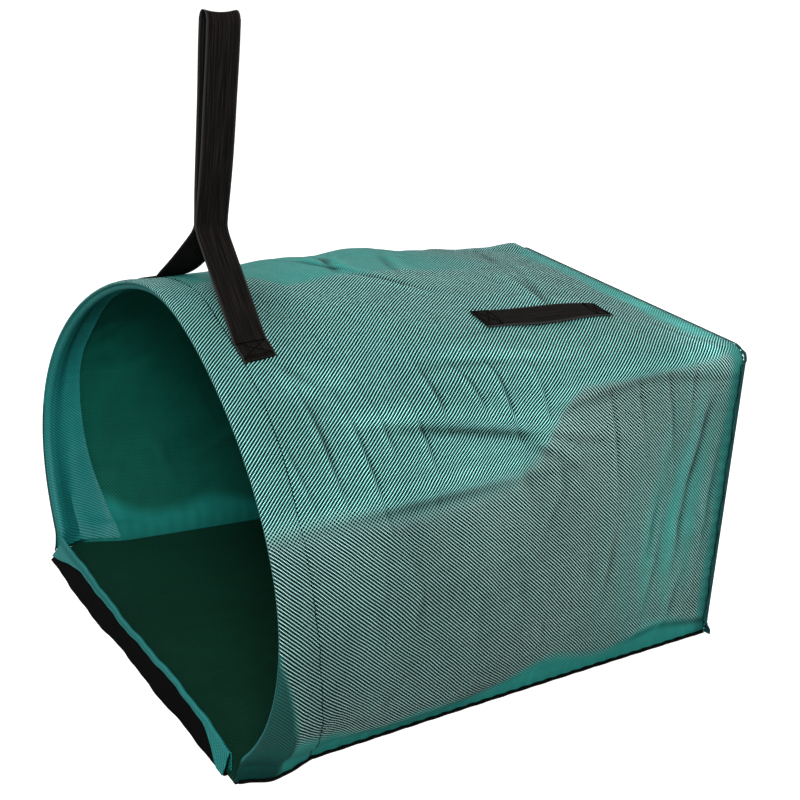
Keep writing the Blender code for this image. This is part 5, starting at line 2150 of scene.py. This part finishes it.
@dataclass
class CarryStrap(Assembly):
    """The strap over the mouth: two legs sewn to the wrap, a junction and a standing loop."""

    from_edge: float = 0.0775
    from_crown: float = 0.138
    sewn: float = 0.032
    tongue: float = 0.012
    junction: float = 0.598
    loop_height: float = 0.269
    loop_open: float = 0.019
    loop_closed: float = 0.0004
    opening_rise: float = 0.150
    ear: float = 0.0035
    step: float = 0.003
    seat_step: float = 0.0009
    end_shift: float = -0.0072
    far_lies: float = 0.036
    far_droop: float = 0.0070
    long_end: float = 0.0048
    skew: float = 0.0022
    groove: float = 0.0018
    twist: float = -0.20
    eased_rows: int = 6
    passes: int = 14
    clear: float = 0.0002
    groove_width: float = 0.0010
    bend_over: tuple[float, float] = (-0.008, 0.014)
    loop_bend: tuple[float, float] = (0.001, 0.024)
    loop_wave: tuple[float, float] = (0.0012, 0.19)
    loop_lean: float = 0.0020
    loop_stitch_up: float = 0.002
    loop_stitch_out: float = 0.0005
    loop_pitch: float = 0.0044
    stitch_lines: tuple[float, float] = (0.0050, 0.0275)
    doubled_by: float = 0.0020
    stitch_reach: float = 0.92

    def seated(self, length: Array, across: Array, side: Side, lift: Array | float) -> Array:
        """Points of a sewn end.

        Args:
            length: distances from its tip towards the crown.
            across: places over its width, from -1 to 1.
            side: the strap's side.
            lift: how far they stand off the cloth.

        Returns:
            Points.
        """
        depth = self.from_edge + self.end_shift + across * WEBBING_HALF
        share = side.value * self.form.share_over(self.from_crown + self.sewn - length, depth)
        return self.form.skin(share, depth, lift)

    def loop_depth(self) -> float:
        """The depth of the loop's middle line, over the middle of the legs' packed ends."""
        share = self.form.share_over(np.array(self.from_crown), np.array(self.from_edge))
        return float(self.form.skin(share, np.array(self.from_edge), GAP + WEBBING / 2)[..., 1])

    def rows(self, side: Side) -> tuple[Array, Array, Array]:
        """The middle face of a sewn end and the leg that rises from it, eased into each other.

        The leg is a straight run between the seat and the junction. Its rows are evened out along
        its length, and its last rows turn upright to meet the loop.

        Args:
            side: the leg's side.

        Returns:
            Rows of points from the tip to the junction, the seat's last point and the junction's.
        """
        across = selvage()[0]
        lift = GAP + WEBBING / 2 + self.clear
        laid = self.sewn + (self.far_lies if side == Side.LEFT else 0.0)
        on_bag = np.arange(0.0, laid, self.seat_step)[:, None]
        press = sum(bump(on_bag - place, self.groove_width) for place in self.stitch_lines)
        early = np.maximum(1 - on_bag / self.sewn, 0)
        on_bag = on_bag - early * (self.long_end - self.skew * across[None, :])
        lying = self.seated(on_bag, across[None, :], side, lift - self.groove * press)
        seat = self.seated(np.array(laid), np.array(0.0), side, lift)
        top = np.array((side.value * (self.loop_closed + WEBBING / 2), self.loop_depth(), self.junction))
        count = int(np.linalg.norm(top - seat) / self.step)
        t = np.linspace(0, 1, count)[:, None, None]
        width = np.array((0.0, 1.0, 0.0)) * WEBBING_HALF * across[None, :, None]
        droop = self.far_droop * (side == Side.LEFT) * hump(t) * np.array((0.0, 0.0, 1.0))
        rising = seat + (top - seat) * t + width - droop
        upright = np.array([top + (0, 0, self.step * k) for k in (1, 2)])[:, None, :] + width
        rows = np.concatenate([lying, rising, upright])
        start = len(lying) - self.eased_rows
        rows[start:] = smoothed(rows[start:], self.passes)
        if side == Side.LEFT:
            rows = self.twisted(rows, len(lying))
        return rows, seat, top

    def leg(self, side: Side) -> Piece:
        """A sewn end and its leg as one piece of webbing.

        Args:
            side: the leg's side.

        Returns:
            The piece.
        """
        rows, seat, top = self.rows(side)
        piece = band("carry_leg_" + side.word, rows, self.finishes.webbing)
        first, second = (seat + unit(top - seat) * (self.tongue + away) for away in self.bend_over)
        return bend(piece, ("bag", "strap_legs"), first, second, "webbing_black",
                    "strap_end_" + side.word, "strap_leg_" + side.word)

    def twisted(self, rows: Array, start: int) -> Array:
        """A leg turned about its middle line by half a sine, most halfway up.

        Args:
            rows: the rows of a sewn end and its leg.
            start: the leg's first row.

        Returns:
            The rows.
        """
        leg = rows[start:]
        line = leg[:, WEBBING_PLACES // 2]
        middle, heading = line[:, None], unit(np.gradient(line, axis=0))[:, None]
        off = leg - middle
        angle = self.twist * hump(np.linspace(0, 1, len(leg)))[:, None, None]
        turned = off * np.cos(angle) + np.cross(heading, off) * np.sin(angle)
        return np.concatenate([rows[:start], middle + turned])

    def loop(self) -> list[Piece]:
        """The loop and the thread that closes it.

        The middle line goes up one side, which eases out from the closed junction to the open top,
        round half a circle, and down the other side. The edges stand a little higher round the top.

        Returns:
            The loop and its stitches.
        """
        closed = WEBBING / 2 + self.loop_closed
        opened = self.loop_open / 2
        top = self.loop_height - opened - WEBBING / 2 - self.ear
        up = np.linspace(0, top, 60)
        out = closed + (opened - closed) * ease(up / self.opening_rise)
        out = out + self.loop_wave[0] * wave(up, self.loop_wave[1]) * ease(up / 0.05)
        angle = np.linspace(0, math.pi, 24)[1:-1]
        line = np.concatenate([np.stack([out, up], -1),
                               np.stack([opened * np.cos(angle), top + opened * np.sin(angle)], -1),
                               np.stack([-out, up], -1)[::-1]])
        line[:, 0] += self.loop_lean * hump(line[:, 1] / self.loop_height) * ease(line[:, 1] / 0.1)
        across = selvage()[0][None, :]
        raised = self.ear * ease((line[:, 1] - top + 0.03) / 0.035)[:, None] * np.abs(across) ** 2.2
        middle_y = self.loop_depth()
        middle = np.stack(np.broadcast_arrays(line[:, 0][:, None], middle_y + across * WEBBING_HALF,
                                              self.junction + line[:, 1][:, None] + raised), -1)
        piece = band("carry_loop_webbing", middle, self.finishes.webbing)
        bent = [(0.0, middle_y, self.junction + rise) for rise in self.loop_bend]
        bend(piece, ("strap_legs", "strap_loop"), *bent, "webbing_black", "carry_loop")
        lines = []
        for side in Side:
            over = np.linspace(-0.94, 0.94, 40) * WEBBING_HALF
            face = side.value * (closed + WEBBING / 2 + self.loop_stitch_out)
            high = self.junction + self.loop_stitch_up
            points = np.stack(np.broadcast_arrays(face, middle_y + over, high), -1)
            lines.append((points, np.broadcast_to((float(side.value), 0.0, 0.0), points.shape)))
        sewn = Bead(height=0.0012).sew("junction_stitching", lines, self.loop_pitch, self.finishes.thread)
        bend(sewn, ("strap_legs", "strap_loop"), *bent, "thread_black", "junction_stitch")
        return [piece, sewn]

    def cross(self, side: Side) -> Piece:
        """The stitching of a sewn end: two doubled lines over its width and a cross between them.

        Args:
            side: the end's side.

        Returns:
            The piece.
        """
        rows = self.rows(side)[0]
        first, second = self.stitch_lines
        reach = self.stitch_reach
        runs = [((place, -reach), (place, reach))
                for place in (first, first + self.doubled_by, second, second - self.doubled_by)]
        runs += [((first, -reach), (second, reach)), ((first, reach), (second, -reach))]
        to_share = (1 / (self.seat_step * (len(rows) - 1)), 1.0)
        pairs = [np.linspace(start, end, 40) * to_share for start, end in runs]
        lines = lines_on(rows, -side.value * grid_normals(rows), pairs, WEBBING / 2 + STITCH_LIFT)
        piece = END_BEAD.sew("end_stitching_" + side.word, lines, END_PITCH, self.finishes.thread)
        return dress(piece, "bag", "thread_black", "end_stitch_" + side.word)

    def build(self) -> list[Piece]:
        """Make the whole strap.

        Returns:
            The pieces.
        """
        made = []
        for side in Side:
            made += [self.leg(side), self.cross(side)]
        return made + self.loop()


@dataclass
class GrabHandle(Assembly):
    """The short strap on the top, sewn at both ends and slack between them."""

    from_edge: float = 0.406
    length: float = 0.234
    from_crown: float = 0.148
    sewn: float = 0.032
    rise: float = 0.0022
    droop: float = 0.0042
    clear: float = 0.0010
    front_low: float = 0.0050
    rear_high: float = -0.0100
    count: int = 91
    passes: int = 160
    ends_kept: float = 3.4
    bend_line: tuple[float, float] = (0.14, 0.5)
    cross_inset: float = 0.003
    cross_reach: float = 0.86

    def seated(self, depth: Array, across: Array, lift: Array | float) -> Array:
        """Points over the handle's seat.

        Args:
            depth: depths behind the mouth.
            across: places over its width, in half widths from its middle line.
            lift: how far they stand off the cloth.

        Returns:
            Points.
        """
        middle = self.from_edge + self.length / 2
        share = self.form.share_over(self.from_crown + across * WEBBING_HALF, np.full_like(across, middle))
        return self.form.skin(share, depth, lift)

    def line(self) -> Array:
        """The handle's middle face, evened out over the cloth's waves, least at its ends.

        It rises in the middle by a power of half a sine, and its lower edge droops by half a sine.

        Returns:
            Rows of points from the front to the rear.
        """
        place = np.linspace(0, 1, self.count)[:, None]
        depth = self.from_edge + self.length * place
        free = np.clip((depth - self.from_edge - self.sewn) / (self.length - 2 * self.sewn), 0, 1)
        lift = GAP + WEBBING / 2 + self.clear + self.rise * hump(free) ** 1.5
        depth, over, lift = np.broadcast_arrays(depth, selvage()[0][None, :], lift)
        shift = self.front_low + (self.rear_high - self.front_low) * place
        hang = self.droop * (over + 1) / 2 * hump(free)
        seat = self.seated(depth, over + (shift + hang) / WEBBING_HALF, lift)
        rows = smoothed(seat, self.passes)
        keep = ease(self.ends_kept * np.square(2 * place - 1) - (self.ends_kept - 1))[..., None]
        return rows + (seat - rows) * keep

    def half(self, word: str, rows: Array, nodes: tuple[str, ...]) -> Piece:
        """One half of the handle, from its sewn end to the middle.

        Args:
            word: which end it is.
            rows: its middle face, from the outer end to the handle's middle.
            nodes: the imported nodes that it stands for.

        Returns:
            The piece.
        """
        piece = band("grab_handle_" + word, rows, self.finishes.webbing)
        middle = rows[:, WEBBING_PLACES // 2, 1]
        sewn = round(self.sewn / self.length * (self.count - 1))
        across, up = self.bend_line
        spots = [(across, middle[row], up) for row in (sewn, -1)]
        return bend(piece, ("bag", "grab_middle"), *spots, "webbing_black", *nodes)

    def cross(self, word: str, start: float, node: str) -> Piece:
        """The boxed cross that holds one end.

        Args:
            word: which end it is.
            start: the depth where the sewn part starts.
            node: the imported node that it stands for.

        Returns:
            The piece.
        """
        rows = self.line()
        outward = grid_normals(rows)
        outward *= np.sign(outward[..., 2:])
        middle = start - self.from_edge + self.sewn / 2
        pairs = [(pair + (middle, 0)) / (self.length, 1)
                 for pair in boxed_cross(self.sewn / 2 - self.cross_inset, self.cross_reach)]
        lines = lines_on(rows, outward, pairs, WEBBING / 2 + STITCH_LIFT)
        piece = END_BEAD.sew("grab_stitching_" + word, lines, END_PITCH, self.finishes.thread)
        return dress(piece, "bag", "thread_black", node)

    def build(self) -> list[Piece]:
        """Make both halves and their stitching.

        Returns:
            The pieces.
        """
        rows, middle = self.line(), self.count // 2
        rear_start = self.from_edge + self.length - self.sewn
        return [
            self.half("front", rows[:middle + 1], ("grab_end_front", "grab_strap")),
            self.half("rear", rows[:middle - 1:-1], ("grab_end_rear",)),
            self.cross("front", self.from_edge, "grab_stitch_front"),
            self.cross("rear", rear_start, "grab_stitch_rear"),
        ]


# The studio


@dataclass
class Studio:
    """A pale floor, soft lights and the camera."""

    azimuth: float = 55.855
    elevation: float = 21.53
    roll: float = 5.663
    lens: float = 63.26
    distance: float = 2.029
    target: tuple[float, float, float] = (-0.003, 0.4, 0.324)
    floor_size: float = 30.0
    floor_height: float = -0.0002
    lights: tuple[tuple[str, tuple[float, float, float], float, float], ...] = (
        ("key_light", (3.0, -1.8, 2.6), 1.0, 150.0), ("back_light", (-2.0, 2.2, 2.4), 2.0, 12.0))

    def camera(self) -> None:
        """A camera that looks at the bag from its front right, turned a little about its own line."""
        a, e, r = (math.radians(value) for value in (self.azimuth, self.elevation, self.roll))
        back = Vector((math.sin(a) * math.cos(e), -math.cos(a) * math.cos(e), math.sin(e)))
        level = Vector((math.cos(a), math.sin(a), 0))
        upright = back.cross(level)
        right = level * math.cos(r) + upright * math.sin(r)
        up = upright * math.cos(r) - level * math.sin(r)
        data = bpy.data.cameras.new("camera")
        data.lens = self.lens
        data.sensor_width = 36.0
        data.clip_start = 0.05
        camera = bpy.data.objects.new("camera", data)
        place = Vector(self.target) - Vector((0, MIDDLE_Y, 0)) + back * self.distance
        camera.matrix_world = Matrix.Translation(place) @ Matrix((right, up, back)).transposed().to_4x4()
        bpy.context.scene.collection.objects.link(camera)
        bpy.context.scene.camera = camera

    def light(self, name: str, place: tuple[float, float, float], size: float, power: float) -> None:
        """A square soft light that faces the bag.

        Args:
            name: its name.
            place: where it stands.
            size: the length of its sides.
            power: its power in watts.
        """
        data = bpy.data.lights.new(name, "AREA")
        data.size = size
        data.energy = power
        lamp = bpy.data.objects.new(name, data)
        lamp.location = place
        lamp.rotation_mode = "QUATERNION"
        lamp.rotation_quaternion = (Vector(place) - Vector((0, 0, 0.25))).to_track_quat("Z", "Y")
        bpy.context.scene.collection.objects.link(lamp)

    def floor(self) -> None:
        """A wide pale floor just under the bag, brighter to the camera than to the bag."""
        half = self.floor_size / 2
        mesh = bpy.data.meshes.new("studio_floor")
        corners = [(x * half, y * half, self.floor_height) for x, y in ((-1, -1), (1, -1), (1, 1), (-1, 1))]
        mesh.from_pydata(corners, [], [(0, 1, 2, 3)])
        material, graph, shader = Finish("studio_floor", 0.9, 0.1).start()
        grain = graph.noise(Finish.place(graph), 3.0)
        seen = graph.mix(grain, (0.91, 0.91, 0.905), (0.93, 0.93, 0.925))
        graph.feed(shader.inputs["Base Color"], graph.through_camera((0.30, 0.31, 0.30), seen))
        glow = graph.through_camera((0.0, 0.0, 0.0), (0.42, 0.42, 0.41))
        graph.feed(shader.inputs["Emission Color"], glow)
        shader.inputs["Emission Strength"].default_value = 1.0
        mesh.materials.append(material)
        floor = bpy.data.objects.new("studio_floor", mesh)
        bpy.context.scene.collection.objects.link(floor)

    def build(self) -> None:
        """Set up the camera, the lights, the floor and the white surroundings."""
        self.camera()
        for light in self.lights:
            self.light(*light)
        self.floor()
        world = bpy.data.worlds.new("studio_air")
        world.use_nodes = True
        graph = Graph(world.node_tree)
        ray = graph.node("TexCoord").outputs["Generated"]
        overhead = graph.spread(graph.parts(ray)[2], 0.0, 1.0, 0.15, 0.85)
        sky = graph.mix(overhead, (1.02, 1.02, 1.02), (0.72, 0.73, 0.73))
        air = world.node_tree.nodes["Background"]
        graph.feed(air.inputs["Color"], graph.through_camera(sky, (1.0, 1.0, 0.99)))
        bpy.context.scene.world = world
        bpy.context.scene.view_settings.view_transform = "Standard"


def main() -> None:
    """Build the bag assembly by assembly, then the studio."""
    logging.basicConfig(level=logging.INFO, format="%(name)s: %(message)s")
    form = BagForm()
    finishes = Finishes()
    for assembly in (Body(form, finishes), Seams(form, finishes), MouthHem(form, finishes),
                     FrontLip(form, finishes), CarryStrap(form, finishes), GrabHandle(form, finishes)):
        for piece in assembly.build():
            LOG.info("%s: %s with %d faces", type(assembly).__name__, piece.name, len(piece.data.polygons))
    Studio().build()


if __name__ == "__main__":
    main()
